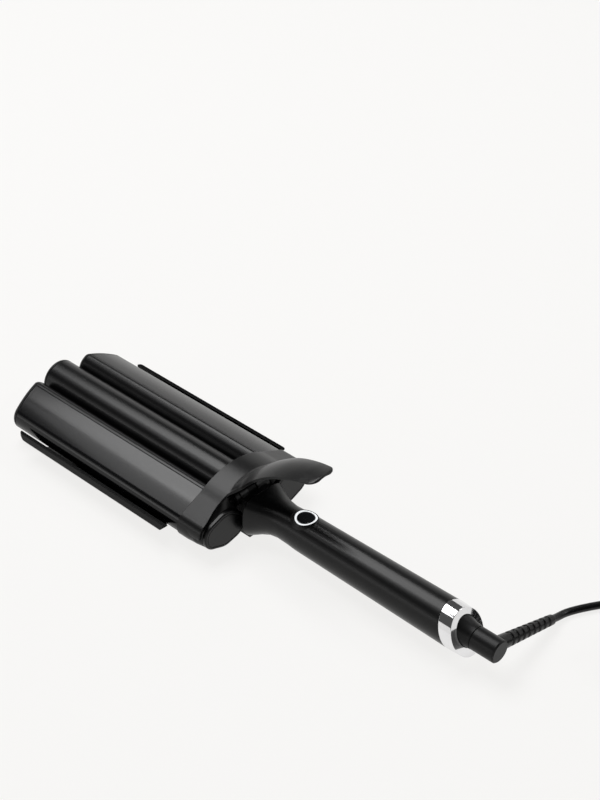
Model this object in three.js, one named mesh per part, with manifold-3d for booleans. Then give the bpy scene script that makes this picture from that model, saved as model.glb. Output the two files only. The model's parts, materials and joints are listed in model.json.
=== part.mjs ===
// A triple-barrel hair waver. The lower jaw carries the round middle barrel between two gutters,
// and a sprung clamp with a thumb lever carries the two outer barrels. Millimetres, +Z up.
// While it is laid out, x runs from the front edge of the gutters towards the cord, y to the
// right-hand side, and z up from the top edge of the guards.
import * as THREE from "three";
import Module from "manifold-3d";
import { mergeVertices } from "three/addons/utils/BufferGeometryUtils.js";

const wasm = await Module();
wasm.setup();

// ---------------------------------------------------------------- driving dimensions

const GAP = 0.3; // between pieces that touch
const OUTLINE_STEPS = 44; // points round an oval section

// Guards of the lower jaw; the outer barrels take their width from them.
const guardHalfWidth = 54.2;
const guardThickness = 2.5;
const guardHeight = 5;
const guardClearance = 3.8; // between an outer barrel and its guard

// Section of an outer barrel on the right-hand side: circles with a taut line round them. The
// flank towards the middle barrel only bears where the outline faces inwards by more than lean.
const outerEdgeRadius = 8.5;
const outerEdgeY = guardHalfWidth - guardThickness - guardClearance - outerEdgeRadius;
const LIP = { y: 22.84, z: 11.97, r: 3.6 };
const FLANK = { y: 26.81, z: 4, r: 12.5, lean: 0.446 };
const HEEL = { y: 20.5, z: -7.6, r: 6.3 };
const OUTER_EDGE = { y: outerEdgeY, z: -1, r: outerEdgeRadius };
const sideSection = [LIP, FLANK, HEEL, OUTER_EDGE];
const sideWall = 1.8;

// Noses: the outer ones end on one shallow arc in plan, the middle one stands a little further out.
const noseX = -23.2;
const sideNoseX = noseX + 1.1; // furthest point of the arc, on the middle line
const noseCurve = 0.0026; // how fast the arc falls back, per square millimetre
const tipLength = 3.2;
const tipInset = 2.2;
const middleNoseX = noseX - 1.5;
const middleTipLength = 2.4;
const middleTipRound = 1.5;
const tipPlugLength = 9;

// Glossy cover on the sloping face of each outer barrel.
const coverThickness = 1.2;
const coverInnerY = outerEdgeY - 14.5;
const coverBottomZ = -4;
const coverSeam = 0.35;

// Middle barrel.
const middleRadius = 13.5;
const middleZ = 5;
const middleWall = 1.8;
const middleFront = middleNoseX + middleTipLength + GAP;
const middleRear = 143.2;

// Heaters inside the barrels.
const heaterThickness = 2.4;
const heaterFront = 2;
const heaterRear = 132;
const sideHeaterWidth = 13;
const spineTop = -4;
const middleHeaterWidth = 16;

// Gutters of the lower jaw, inside its guards.
const gutterFront = -1.8;
const gutterRear = 139.3;
const floorZ = -18;
const gutterWall = 2;
const gutterTurn = 17; // width of the bend from guard to floor
const gutterCorner = 2.5; // plan radius of the corners
const gutterRake = 0.97; // how far both ends slope in for each millimetre down
const saddleHalfWidth = 8.5;
const saddleTop = -3.6;

// Clamp bridge: an arch over the middle barrel and a housing round the end of each outer barrel.
const bridgeFront = 144;
const bridgeRear = 166.2;
const archRadius = 51;
const archTopZ = 23.2;
const archThickness = 3.2;
const archHalfAngle = 34;
const bridgeRearCurve = 0.0019; // how fast the rear edge runs forwards, per square millimetre
const housingGrow = 0.8;
const housingRear = 163.2;
const housingInnerY = 14.4;
const neckInset = 0.6; // waist between the housing and its end cap
const pocketInset = 2.7;
const pocketDepth = 10;

// Oval end caps behind the housings.
const capSection = [
  { y: 21, z: -4, r: 10 },
  { y: outerEdgeY - 3.8, z: -2.4, r: 10 },
  { y: outerEdgeY - 11.9, z: -2.6, r: 12.7 },
];
const capRear = 166.2;
const capRound = 0.9;

// Thumb lever: a crowned blade that sweeps up and back from the arch.
const leverRootX = 159.8;
const leverRootBow = 3.4; // how far the ends of its root curve forwards
const leverRootHalf = 21;
const leverThickness = 3;
const leverTongueHalf = 8;
const leverTongueFront = 149;
const leverTongueThickness = 2.4;

// Clamp hinge.
const hingeX = 158;
const hingeZ = 8.5;
const hingePinRadius = 2.5;
const hingeHalfLength = 20.5;
const hingeBossRadius = 5.5;
const pinClearance = 0.15;
const pivotHalfWidth = 10.4;
const pivotFront = 146;
const spigotLength = 12;
const springHalfWidth = 3.6;
const springRadius = 4.6;

// Neck and handle.
const neckFront = 169.4;
const handleAxisZ = 1.8;
const handleFrontRadius = 12.4;
const handleRearRadius = 13.8;
const handleFrontX = 208;
const handleEndX = 324.5; // on the axis, where the slanted end ring starts
const handleWall = 2.2;
const seamZ = -8.2;
const seamFrontX = 181;
const handleSides = 32;
const tongueHalfWidth = 6;
const tongueHalfHeight = 5;
const boardHalfWidth = 8;

// Slanted end ring and cord swivel.
const ringLength = 9.8;
const ringFrontLean = 0.42; // how far the top leans forwards for each millimetre up
const ringRearLean = 0.47;
const ringTaper = 0.5;
const coneBaseRadius = 10.2;
const swivelRadius = 7.4;
const swivelFrontX = 340.6;
const swivelRearX = 357.6;
const swivelAxleRadius = 3;

// Round power button in a lit ring; both follow the curve of the handle.
const buttonX = 207.6;
const buttonRadius = 5.45;
const buttonStemRadius = 2.2;
const buttonClearance = 0.3;
const buttonTravel = 0.7;
const lightRingRadius = 7.25;
const lightRingRise = 0.6; // above the handle's surface
const lightRingDepth = 3;
const collarRadius = 8.4;
const collarRise = 0.35;

// Strain relief.
const reliefRootRadius = 4.7;
const reliefEndRadius = 3.2;
const reliefGroove = 0.55;
const reliefRibs = 9;

// Mains cord: a short lead, the rest wound into a coil of four layers, and a tail to its plug.
const cordDiameter = 4.8;
const surfaceClearance = 0.15; // what lies on the surface stays this clear of it
const coilX = 432;
const coilY = 88;
const coilRadius = 28.8; // middle of the turns
const coilPitch = 6;
const coilLayers = 4;
const coilLayerTurns = 3.1875;
const coilStartDegrees = 120;
const coilStepsPerTurn = 24;
const tieThickness = 0.8;
const tieWidth = 8;
const tieDegrees = 215;

// Two-pin mains plug.
const plugHalfWidth = 17.6;
const plugHalfHeight = 6.8;
const plugLength = 44;
const pinRadius = 2;
const pinLength = 19;
const pinSpacing = 18.6;
const pinRoot = 8;

// ---------------------------------------------------------------- materials

function finish(color, roughness, metalness) {
  return new THREE.MeshStandardMaterial({ color, roughness, metalness });
}

const satinBlack = finish(0x141416, 0.42, 0);
const glossBlack = finish(0x0e0e10, 0.18, 0);
const barrelBlack = finish(0x151517, 0.36, 0.2);
const mattBlack = finish(0x1b1b1d, 0.6, 0);
const rubberBlack = finish(0x18181a, 0.7, 0);
const chrome = finish(0xd9dadc, 0.08, 1);
const steel = finish(0x9a9da1, 0.3, 1);
const litWhite = finish(0xf4f5f4, 0.35, 0);
const ceramic = finish(0xd8d2c6, 0.6, 0);
const boardGreen = finish(0x1f4f33, 0.55, 0);
const insulator = finish(0x3a3733, 0.7, 0);

// ---------------------------------------------------------------- solids

function solidFrom(geometry) {
  const flat = geometry.index ? geometry.toNonIndexed() : geometry;
  const bare = new THREE.BufferGeometry();
  bare.setAttribute("position", flat.getAttribute("position"));
  const merged = mergeVertices(bare, 1e-4);
  return new wasm.Manifold(
    new wasm.Mesh({
      numProp: 3,
      vertProperties: merged.attributes.position.array,
      triVerts: new Uint32Array(merged.index.array),
    }),
  );
}

function geometryFrom(solid) {
  const mesh = solid.getMesh();
  const geometry = new THREE.BufferGeometry();
  geometry.setAttribute("position", new THREE.Float32BufferAttribute(mesh.vertProperties, 3));
  geometry.setIndex(new THREE.Uint32BufferAttribute(mesh.triVerts, 1));
  geometry.computeVertexNormals();
  return geometry;
}

// A closed skin through rings of [x, y, z] points, with a flat fan over each end.
function skin(rings) {
  const sides = rings[0].length;
  const points = rings.flat();
  for (const end of [rings[0], rings[rings.length - 1]]) {
    points.push([0, 1, 2].map((k) => end.reduce((sum, p) => sum + p[k], 0) / sides));
  }
  const faces = [];
  for (let i = 0; i + 1 < rings.length; i++) {
    for (let j = 0; j < sides; j++) {
      const a = i * sides + j;
      const b = i * sides + ((j + 1) % sides);
      faces.push([a, b, b + sides], [a, b + sides, a + sides]);
    }
  }
  const last = (rings.length - 1) * sides;
  const middle = rings.length * sides;
  for (let j = 0; j < sides; j++) {
    const next = (j + 1) % sides;
    faces.push([middle, next, j], [middle + 1, last + j, last + next]);
  }
  const corners = faces.map((face) => face.map((i) => new THREE.Vector3(...points[i])));
  const volume = corners.reduce((sum, [a, b, c]) => sum + a.dot(b.clone().cross(c)), 0);
  const order = volume < 0 ? [0, 2, 1] : [0, 1, 2];
  const positions = faces.flatMap((face) => order.flatMap((k) => points[face[k]]));
  const geometry = new THREE.BufferGeometry();
  geometry.setAttribute("position", new THREE.Float32BufferAttribute(positions, 3));
  return solidFrom(geometry);
}

function extruded(outline, depth, basis, place) {
  const shape = new THREE.Shape(outline.map(([u, v]) => new THREE.Vector2(u, v)));
  const geometry = new THREE.ExtrudeGeometry(shape, { depth, bevelEnabled: false });
  geometry.applyMatrix4(new THREE.Matrix4().makeBasis(...basis).setPosition(...place));
  return solidFrom(geometry);
}

const X = new THREE.Vector3(1, 0, 0);
const Y = new THREE.Vector3(0, 1, 0);
const Z = new THREE.Vector3(0, 0, 1);

// Outlines of [y, z], [x, z] and [x, y] points, run along x, y and z.
const alongX = (outline, x0, x1) => extruded(outline, x1 - x0, [Y, Z, X], [x0, 0, 0]);
const alongY = (outline, y0, y1) =>
  extruded(outline, y1 - y0, [X, Z, Y.clone().negate()], [0, y1, 0]);
const alongZ = (outline, z0, z1) => extruded(outline, z1 - z0, [X, Y, Z], [0, 0, z0]);

function box(x0, x1, y0, y1, z0, z1) {
  const geometry = new THREE.BoxGeometry(x1 - x0, y1 - y0, z1 - z0);
  geometry.translate((x0 + x1) / 2, (y0 + y1) / 2, (z0 + z1) / 2);
  return solidFrom(geometry);
}

function rod(axis, from, to, radius, u, v, sides = 24, endRadius = radius) {
  const geometry = new THREE.CylinderGeometry(endRadius, radius, to - from, sides);
  geometry.translate(0, (to - from) / 2 + from, 0);
  if (axis === "x") geometry.rotateZ(-Math.PI / 2).translate(0, u, v);
  if (axis === "y") geometry.translate(u, 0, v);
  if (axis === "z") geometry.rotateX(Math.PI / 2).translate(u, v, 0);
  return solidFrom(geometry);
}

function arc(cx, cy, radius, fromDegrees, toDegrees, steps) {
  return Array.from({ length: steps + 1 }, (_, i) => {
    const angle = THREE.MathUtils.degToRad(fromDegrees + ((toDegrees - fromDegrees) * i) / steps);
    return [cx + radius * Math.cos(angle), cy + radius * Math.sin(angle)];
  });
}

const mirrored = (circles, side) => circles.map((c) => ({ ...c, y: c.y * side, side }));

// The taut outline round circles, each grown by the same amount, as [y, z] points.
function tautOutline(circles, grow, steps = OUTLINE_STEPS) {
  return Array.from({ length: steps }, (_, i) => {
    const angle = (2 * Math.PI * (i + 0.5)) / steps;
    const [ny, nz] = [Math.cos(angle), Math.sin(angle)];
    const bears = (c) => !c.lean || -ny * (c.side ?? 1) > c.lean;
    const reach = (c) => (bears(c) ? c.y * ny + c.z * nz + c.r : -Infinity);
    const far = circles.reduce((best, c) => (reach(c) > reach(best) ? c : best));
    return [far.y + (far.r + grow) * ny, far.z + (far.r + grow) * nz];
  });
}

const ringAt = (outline, xOf) => outline.map(([y, z]) => [xOf(y, z), y, z]);
const flatRing = (outline, x) => ringAt(outline, () => x);

// ---------------------------------------------------------------- the tree of pieces

const part = new THREE.Group();
const layout = new THREE.Group();
const base = new THREE.Group();
const clamp = new THREE.Group();
const swivel = new THREE.Group();
const cordage = new THREE.Group();
layout.add(base, clamp, swivel, cordage);
part.add(layout);

function addPiece(group, name, solid, material) {
  const mesh = new THREE.Mesh(geometryFrom(solid), material);
  mesh.name = name;
  group.add(mesh);
}

// ---------------------------------------------------------------- outer barrels

const noseArc = (y) => sideNoseX + noseCurve * y * y;

// Ring of the outer barrel's section that follows the arc of the noses, this far behind it.
function arcRing(side, grow, depth, scale = 1) {
  const outline = tautOutline(mirrored(sideSection, side), grow);
  const middle = [0, 1].map((k) => outline.reduce((sum, p) => sum + p[k], 0) / outline.length);
  const scaled = outline.map((p) => p.map((value, k) => middle[k] + (value - middle[k]) * scale));
  return ringAt(scaled, (y) => noseArc(y) + depth);
}

function sideBarrelSkin(side, grow, front, rear) {
  const end = flatRing(tautOutline(mirrored(sideSection, side), grow), rear);
  return skin([arcRing(side, grow, front), end]);
}

const between = (side, inner, outer) => (side > 0 ? [inner, outer] : [-outer, -inner]);

const sideRear = bridgeFront - GAP;
const sideTubeFront = tipLength + GAP;
const coverInset = sideWall + coverThickness;

// The space of the glossy cover, grown by a margin all round.
function coverBand(side, margin, depthMargin) {
  const front = sideTubeFront - margin;
  const outside = sideBarrelSkin(side, 0.5, front, sideRear + margin);
  const inside = sideBarrelSkin(side, -coverThickness - depthMargin, front - 20, sideRear + 20);
  const band = between(side, coverInnerY - margin, guardHalfWidth);
  const bottom = coverBottomZ - margin;
  return outside.subtract(inside).intersect(box(-50, sideRear + margin, ...band, bottom, 40));
}

function makeOuterBarrel(side, word) {
  const outer = sideBarrelSkin(side, 0, sideTubeFront, sideRear);
  const bore = sideBarrelSkin(side, -coverInset, -20, sideRear + 20);
  const cover = coverBand(side, 0, 0).intersect(outer);
  const tube = outer.subtract(bore).subtract(coverBand(side, coverSeam, GAP));
  addPiece(clamp, word + "_barrel", tube, barrelBlack);
  addPiece(clamp, word + "_barrel_cover", cover, glossBlack);
}

function makeOuterTip(side, word) {
  const steps = 4;
  const rings = [];
  for (const scale of [0.3, 0.65]) {
    rings.push(arcRing(side, -tipInset, 0, scale));
  }
  for (let i = steps; i >= 0; i--) {
    const angle = (Math.PI / 2) * (i / steps);
    const grow = -tipInset * (1 - Math.cos(angle));
    rings.push(arcRing(side, grow, tipLength * (1 - Math.sin(angle))));
  }
  const plugEnd = sideNoseX + tipLength + tipPlugLength;
  const plug = sideBarrelSkin(side, -coverInset - GAP, tipLength - 1, plugEnd);
  addPiece(clamp, word + "_barrel_tip", skin(rings).add(plug), mattBlack);
}

// Spine: ties the barrel to its housing and carries the heater.
function makeOuterSpine(side, word) {
  const inset = -coverInset - GAP;
  const front = sideNoseX + tipLength + tipPlugLength + GAP;
  const rear = bridgeFront + pocketDepth - GAP;
  const width = between(side, HEEL.y - 4, OUTER_EDGE.y + 2);
  const outline = tautOutline(mirrored(sideSection, side), inset);
  const full = skin([flatRing(outline, front), flatRing(outline, rear)]);
  const spine = full.intersect(box(front - 1, rear, ...width, -40, spineTop));
  addPiece(clamp, word + "_barrel_spine", spine, insulator);

  const middle = (side * (HEEL.y + OUTER_EDGE.y)) / 2;
  const half = sideHeaterWidth / 2;
  const bottom = spineTop + GAP;
  const top = bottom + heaterThickness;
  const plate = box(heaterFront, heaterRear, middle - half, middle + half, bottom, top);
  addPiece(clamp, word + "_heater", plate, ceramic);
}

// ---------------------------------------------------------------- clamp bridge and lever

const archZ = (y) => archTopZ - archRadius + Math.sqrt(archRadius ** 2 - y ** 2);

// The lever's blade along x: height on the middle line, half-width, crown and bow of the section.
const leverRoot = { x: leverRootX, z: archTopZ + 0.3, half: leverRootHalf, bow: leverRootBow };
leverRoot.crown = archTopZ - archZ(leverRootHalf);
const leverStations = [
  { ...leverRoot, x: leverRootX - leverRootBow - 2, bow: 0 },
  leverRoot,
  { x: 164.5, z: 27, half: 20.2, crown: 5.4, bow: 2.4 },
  { x: 170, z: 32.4, half: 15.8, crown: 4.5, bow: 1.2 },
  { x: 176, z: 37.6, half: 14.2, crown: 3.9, bow: 0.4 },
  { x: 183, z: 42.4, half: 13.1, crown: 3.2, bow: 0 },
  { x: 191, z: 46.8, half: 12.5, crown: 2.7, bow: 0 },
  { x: 200, z: 50.3, half: 12, crown: 2.3, bow: 0 },
  { x: 209, z: 52.8, half: 11.5, crown: 1.9, bow: 0 },
  { x: 216, z: 54.4, half: 10.4, crown: 1.5, bow: 0 },
  { x: 220, z: 55.2, half: 7.8, crown: 0.9, bow: 0 },
  { x: 222, z: 55.5, half: 4.2, crown: 0.4, bow: 0 },
];

function leverRing(index) {
  const here = leverStations[index];
  const before = leverStations[Math.max(index - 1, 0)];
  const after = leverStations[Math.min(index + 1, leverStations.length - 1)];
  const slope = index < 2 ? 0 : Math.atan2(after.z - before.z, after.x - before.x);
  const across = 10;
  const upper = [];
  const lower = [];
  for (let i = 0; i <= across; i++) {
    const share = 1 - (2 * i) / across;
    const x = here.x - here.bow * share ** 2;
    const z = here.z - here.crown * share ** 2;
    const deep = leverThickness * (0.45 + 0.55 * Math.sqrt(1 - share ** 8));
    upper.push([x, here.half * share, z]);
    lower.unshift([x + deep * Math.sin(slope), here.half * share, z - deep * Math.cos(slope)]);
  }
  return [...upper, ...lower];
}

function makeLever() {
  const rings = leverStations.map((_, index) => leverRing(index));
  const blade = skin(rings).intersect(leverSeat(0));
  const half = leverTongueHalf;
  const top = archZ(half) - archThickness - 2 * GAP;
  const bottom = top - leverTongueThickness;
  const tongue = box(leverTongueFront, leverRootX + 3, -half, half, bottom, top);
  const riser = box(leverRootX + 0.5, leverRootX + 3, -half, half, bottom, archTopZ - 1);
  addPiece(clamp, "thumb_lever", blade.add(tongue).add(riser), satinBlack);
}

// Plan outline of everything in front of the bridge's curved rear edge.
function aheadOfRearEdge() {
  const outline = [
    [bridgeFront, 60],
    [bridgeFront, -60],
  ];
  for (let y = -60; y <= 60; y += 6) {
    outline.push([bridgeRear - bridgeRearCurve * y * y, y]);
  }
  return alongZ(outline, -60, 60);
}

// Everything behind the bowed line where the lever leaves the arch.
function leverSeat(margin) {
  const reach = leverRootHalf + margin;
  const outline = [
    [bridgeRear + 80, -reach],
    [bridgeRear + 80, reach],
  ];
  for (let i = 0; i <= 10; i++) {
    const share = 1 - i / 5;
    outline.push([leverRootX - margin - leverRootBow * share ** 2, reach * share]);
  }
  return alongZ(outline, 0, 60);
}

// Oval box round the end of an outer barrel, with a narrower neck for the end cap.
function housing(side) {
  const section = tautOutline(mirrored(sideSection, side), housingGrow);
  const rearSection = tautOutline(mirrored([LIP, OUTER_EDGE, ...capSection], side), 0.3);
  const body = skin([
    flatRing(section, bridgeFront),
    flatRing(section, bridgeFront + 6),
    flatRing(rearSection, bridgeRear),
  ]);
  const neckOutline = tautOutline(mirrored(capSection, side), -neckInset);
  const neck = skin([
    flatRing(neckOutline, housingRear - 5),
    flatRing(neckOutline, housingRear),
  ]);
  const innerWall = between(side, housingInnerY, 70);
  return body
    .intersect(aheadOfRearEdge())
    .intersect(box(100, housingRear, -70, 70, -60, 60))
    .add(neck)
    .intersect(box(100, 200, ...innerWall, -40, 40));
}

function makeBridge() {
  const from = 90 - archHalfAngle;
  const to = 90 + archHalfAngle;
  const centre = archTopZ - archRadius;
  const outline = [
    ...arc(0, centre, archRadius, from, to, 20),
    ...arc(0, centre, archRadius - archThickness, to, from, 20),
  ];
  const band = alongX(outline, bridgeFront, bridgeRear + 1).intersect(aheadOfRearEdge());
  let bridge = band.subtract(leverSeat(GAP)).add(housing(1)).add(housing(-1));
  for (const side of [1, -1]) {
    const section = tautOutline(mirrored(sideSection, side), -pocketInset);
    const pocket = skin([
      flatRing(section, bridgeFront - 5),
      flatRing(section, bridgeFront + pocketDepth),
    ]);
    bridge = bridge.subtract(pocket);
  }
  const reach = hingeHalfLength + GAP;
  bridge = bridge.subtract(rod("y", -reach, reach, hingePinRadius + pinClearance, hingeX, hingeZ));
  addPiece(clamp, "clamp_bridge", bridge, satinBlack);
}

function makeEndCap(side, word) {
  const section = mirrored(capSection, side);
  const front = housingRear + GAP;
  const cap = skin([
    flatRing(tautOutline(section, 0), front),
    flatRing(tautOutline(section, 0), capRear - capRound),
    flatRing(tautOutline(section, -capRound * 0.3), capRear - capRound * 0.3),
    flatRing(tautOutline(section, -capRound), capRear),
  ]);
  addPiece(clamp, word + "_end_cap", cap, satinBlack);
}

// ---------------------------------------------------------------- lower jaw

function makeMiddleBarrel() {
  const sides = 40;
  const outer = rod("x", middleFront, middleRear, middleRadius, 0, middleZ, sides);
  const boreRadius = middleRadius - middleWall;
  const bore = rod("x", middleFront - 1, middleRear + 1, boreRadius, 0, middleZ, sides);
  addPiece(base, "middle_barrel", outer.subtract(bore), barrelBlack);

  const steps = 4;
  const profile = [[0, middleTipLength]];
  profile.push([middleRadius, middleTipLength]);
  for (let i = 0; i <= steps; i++) {
    const angle = (Math.PI / 2) * (i / steps);
    const radius = middleRadius - middleTipRound * (1 - Math.cos(angle));
    profile.push([radius, middleTipRound * (1 - Math.sin(angle))]);
  }
  profile.push([0, 0]);
  const tip = new THREE.LatheGeometry(
    profile.reverse().map(([r, h]) => new THREE.Vector2(r, h)),
    sides,
  );
  tip.rotateZ(-Math.PI / 2).translate(middleNoseX, 0, middleZ);
  const plugEnd = middleFront + tipPlugLength;
  const plug = rod("x", middleFront - 1, plugEnd, boreRadius - GAP, 0, middleZ, sides);
  addPiece(base, "middle_barrel_tip", solidFrom(tip).add(plug), mattBlack);

  const collar = rod("x", middleRear + GAP, pivotFront - GAP, middleRadius - 0.2, 0, middleZ, sides);
  const hole = rod("x", middleRear - 5, pivotFront + 5, boreRadius, 0, middleZ, sides);
  addPiece(base, "middle_barrel_collar", collar.subtract(hole), insulator);

  const carrierTop = middleZ - heaterThickness / 2 - GAP;
  const carrierRear = pivotFront - spigotLength - GAP;
  const carrier = rod("x", plugEnd + GAP, carrierRear, boreRadius - GAP, 0, middleZ, sides);
  const below = box(-50, 200, -20, 20, -40, carrierTop);
  addPiece(base, "middle_barrel_spine", carrier.intersect(below), insulator);
  const heater = box(
    heaterFront,
    heaterRear,
    -middleHeaterWidth / 2,
    middleHeaterWidth / 2,
    carrierTop + GAP,
    carrierTop + GAP + heaterThickness,
  );
  addPiece(base, "middle_heater", heater, ceramic);
}

// Bend from the foot of a guard to the floor, for one face of the wall.
function gutterCurve(outer, bottom, wall) {
  const foot = outer - gutterTurn + wall;
  const curve = new THREE.QuadraticBezierCurve(
    new THREE.Vector2(outer, -guardHeight),
    new THREE.Vector2(outer - gutterTurn * 0.22, -guardHeight + (bottom + guardHeight) * 0.54),
    new THREE.Vector2(foot, bottom),
  );
  return curve.getPoints(6).map((p) => [p.x, p.y]);
}

function makeLowerJaw() {
  const outerY = guardHalfWidth;
  const innerY = guardHalfWidth - guardThickness;
  const inside = floorZ + gutterWall;
  const half = [[outerY, 0], ...gutterCurve(outerY, floorZ, 0)];
  const back = [
    [saddleHalfWidth, saddleTop],
    [saddleHalfWidth, inside],
    ...gutterCurve(innerY, inside, 1).reverse(),
    [innerY, 0],
  ];
  const mirror = (points) => points.map(([y, z]) => [-y, z]).reverse();
  const section = [...half, ...mirror(half), ...mirror(back), ...back];
  const trough = alongX(section, gutterFront, gutterRear);

  const corner = gutterCorner;
  const plan = [
    ...arc(gutterRear - corner, outerY - corner, corner, 0, 90, 3),
    ...arc(gutterFront + corner, outerY - corner, corner, 90, 180, 3),
    ...arc(gutterFront + corner, -outerY + corner, corner, 180, 270, 3),
    ...arc(gutterRear - corner, -outerY + corner, corner, 270, 360, 3),
  ];
  const deep = floorZ - 1;
  const side = alongY(
    [
      [gutterFront, 1],
      [gutterFront, -1.5],
      [gutterFront - (deep + 1.5) * gutterRake, deep],
      [gutterRear + deep * gutterRake, deep],
      [gutterRear, 0],
      [gutterRear, 1],
    ],
    -60,
    60,
  );
  const saddle = rod("x", -20, gutterRear + 10, middleRadius + GAP, 0, middleZ, 40);
  const jaw = trough.intersect(alongZ(plan, deep, 30)).intersect(side).subtract(saddle);
  addPiece(base, "lower_jaw", jaw, satinBlack);
}

function makePivot() {
  const bossTop = hingeZ + hingeBossRadius;
  const front = pivotFront;
  const rear = neckFront + 26;
  const underBarrel = middleZ - middleRadius - GAP;
  const body = alongY(
    [
      [gutterRear + floorZ * gutterRake + 2 * GAP, floorZ],
      [neckFront - GAP, floorZ],
      [neckFront - GAP, bossTop - 4],
      ...arc(hingeX, hingeZ, hingeBossRadius, 20, 160, 8),
      [front, middleZ],
      [front, underBarrel],
      [gutterRear + underBarrel * gutterRake + 2 * GAP, underBarrel],
    ],
    -pivotHalfWidth,
    pivotHalfWidth,
  );
  const y = tongueHalfWidth;
  const z = tongueHalfHeight;
  const tongue = box(neckFront - 1, rear, -y, y, -z, z);
  const spigotRadius = middleRadius - middleWall - GAP;
  const spigot = rod("x", pivotFront - spigotLength, pivotFront + 1, spigotRadius, 0, middleZ, 40);
  const pin = rod("y", -50, 50, hingePinRadius + pinClearance, hingeX, hingeZ);
  const slot = springHalfWidth + GAP;
  const springRoom = box(
    hingeX - springRadius - 2,
    hingeX + springRadius + 1,
    -slot,
    slot,
    hingeZ - springRadius - 1,
    40,
  );
  const block = body.add(tongue).add(spigot).subtract(pin).subtract(springRoom);
  addPiece(base, "pivot_block", block, mattBlack);

  const length = hingeHalfLength;
  addPiece(base, "hinge_pin", rod("y", -length, length, hingePinRadius, hingeX, hingeZ), steel);
  const sleeve = rod("y", -springHalfWidth, springHalfWidth, springRadius, hingeX, hingeZ);
  const bore = rod("y", -20, 20, hingePinRadius + GAP, hingeX, hingeZ);
  addPiece(base, "clamp_spring", sleeve.subtract(bore), steel);
  for (const [side, word] of [
    [-1, "left"],
    [1, "right"],
  ]) {
    const [y0, y1] = between(side, pivotHalfWidth + GAP, housingInnerY - GAP);
    const washer = rod("y", y0, y1, hingeBossRadius - 0.5, hingeX, hingeZ);
    const hole = rod("y", -60, 60, hingePinRadius + pinClearance, hingeX, hingeZ);
    addPiece(base, word + "_hinge_bush", washer.subtract(hole), insulator);
  }
}

// ---------------------------------------------------------------- neck and handle

// Sections of the neck's bell: half-width, top and bottom, and how square the upper half is.
const neckStations = [
  { x: neckFront, half: 17, top: 13.2, bottom: -16.2, upper: 3.6, lower: 2.3 },
  { x: neckFront + 1.3, half: 18.1, top: 14.1, bottom: -17.3, upper: 3.8, lower: 2.3 },
  { x: 174.2, half: 16.8, top: 13.7, bottom: -15.6, upper: 3.3, lower: 2.2 },
  { x: 179, half: 14.5, top: 13.1, bottom: -13.1, upper: 2.8, lower: 2.1 },
  { x: 185, half: 12.4, top: 12.8, bottom: -10.8, upper: 2.35, lower: 2 },
  { x: 192, half: 11.5, top: 13, bottom: -9.9, upper: 2.1, lower: 2 },
];

function handleRadius(x) {
  const along = (x - handleFrontX) / (handleEndX - handleFrontX);
  return handleFrontRadius + (handleRearRadius - handleFrontRadius) * along;
}

function handleStations() {
  const stations = [200, handleFrontX, 240, 275, handleEndX + 8].map((x) => {
    const r = x < handleFrontX ? 11.9 : handleRadius(x);
    return { x, half: r, top: handleAxisZ + r, bottom: handleAxisZ - r, upper: 2, lower: 2 };
  });
  return [...neckStations, ...stations];
}

function stationRing({ x, half, top, bottom, upper, lower }, inset) {
  const centre = (top + bottom) / 2;
  const height = (top - bottom) / 2;
  return Array.from({ length: handleSides }, (_, i) => {
    const angle = (2 * Math.PI * (i + 0.5)) / handleSides;
    const [c, s] = [Math.cos(angle), Math.sin(angle)];
    const power = s > 0 ? upper : lower;
    const bulge = (Math.abs(c) ** power + Math.abs(s) ** power) ** (-1 / power);
    return [x, (half - inset) * c * bulge, centre + (height - inset) * s * bulge];
  });
}

// The half-space in front of the leaning plane that crosses the handle's axis at x.
function beforeLean(x, lean) {
  const reach = 60;
  const outline = [
    [-200, handleAxisZ - reach],
    [x + reach * lean, handleAxisZ - reach],
    [x - reach * lean, handleAxisZ + reach],
    [-200, handleAxisZ + reach],
  ];
  return alongY(outline, -reach, reach);
}

const surfaceRadius = handleRadius(buttonX);
const alongHandle = (radius) => rod("x", buttonX - 20, buttonX + 20, radius, 0, handleAxisZ, 48);
const upright = (radius, z0, z1) => rod("z", z0, z1, radius, buttonX, 0, 36);

const lightRingTop = surfaceRadius + lightRingRise;
const wellFloor = handleAxisZ + surfaceRadius + lightRingRise - lightRingDepth - 1.6;
const switchHeight = 2.2;
const switchTop = wellFloor - handleWall - GAP;

function makeHandleShells() {
  const stations = handleStations();
  const whole = skin(stations.map((s) => stationRing(s, 0)));
  const outer = whole.intersect(beforeLean(handleEndX - GAP, ringFrontLean));
  const front = neckFront + 4;
  const cavity = skin(stations.map((s) => stationRing(s, handleWall)));
  const hollow = cavity.intersect(box(front, 400, -40, 40, -40, 40));
  const collar = upright(collarRadius, wellFloor - handleWall, 30);
  const raised = collar.intersect(alongHandle(surfaceRadius + collarRise));
  const y = tongueHalfWidth + GAP;
  const z = tongueHalfHeight + GAP;
  const tongueHole = box(neckFront - 2, front + 2, -y, y, -z, z);
  const shell = outer.subtract(hollow).add(raised).subtract(tongueHole);

  const top = box(neckFront - 1, 400, -40, 40, seamZ + GAP / 2, 40);
  const nose = box(neckFront - 1, seamFrontX, -40, 40, -40, 0);
  const under = box(seamFrontX + GAP, 400, -40, 40, -40, seamZ - GAP / 2);
  const ringHole = upright(lightRingRadius + GAP, wellFloor, 30);
  const stemHole = upright(buttonStemRadius + GAP, 0, 30);
  const upper = shell.intersect(top.add(nose)).subtract(ringHole).subtract(stemHole);
  addPiece(base, "handle_upper_shell", upper, satinBlack);
  addPiece(base, "handle_lower_shell", shell.intersect(under), satinBlack);
}

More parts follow.
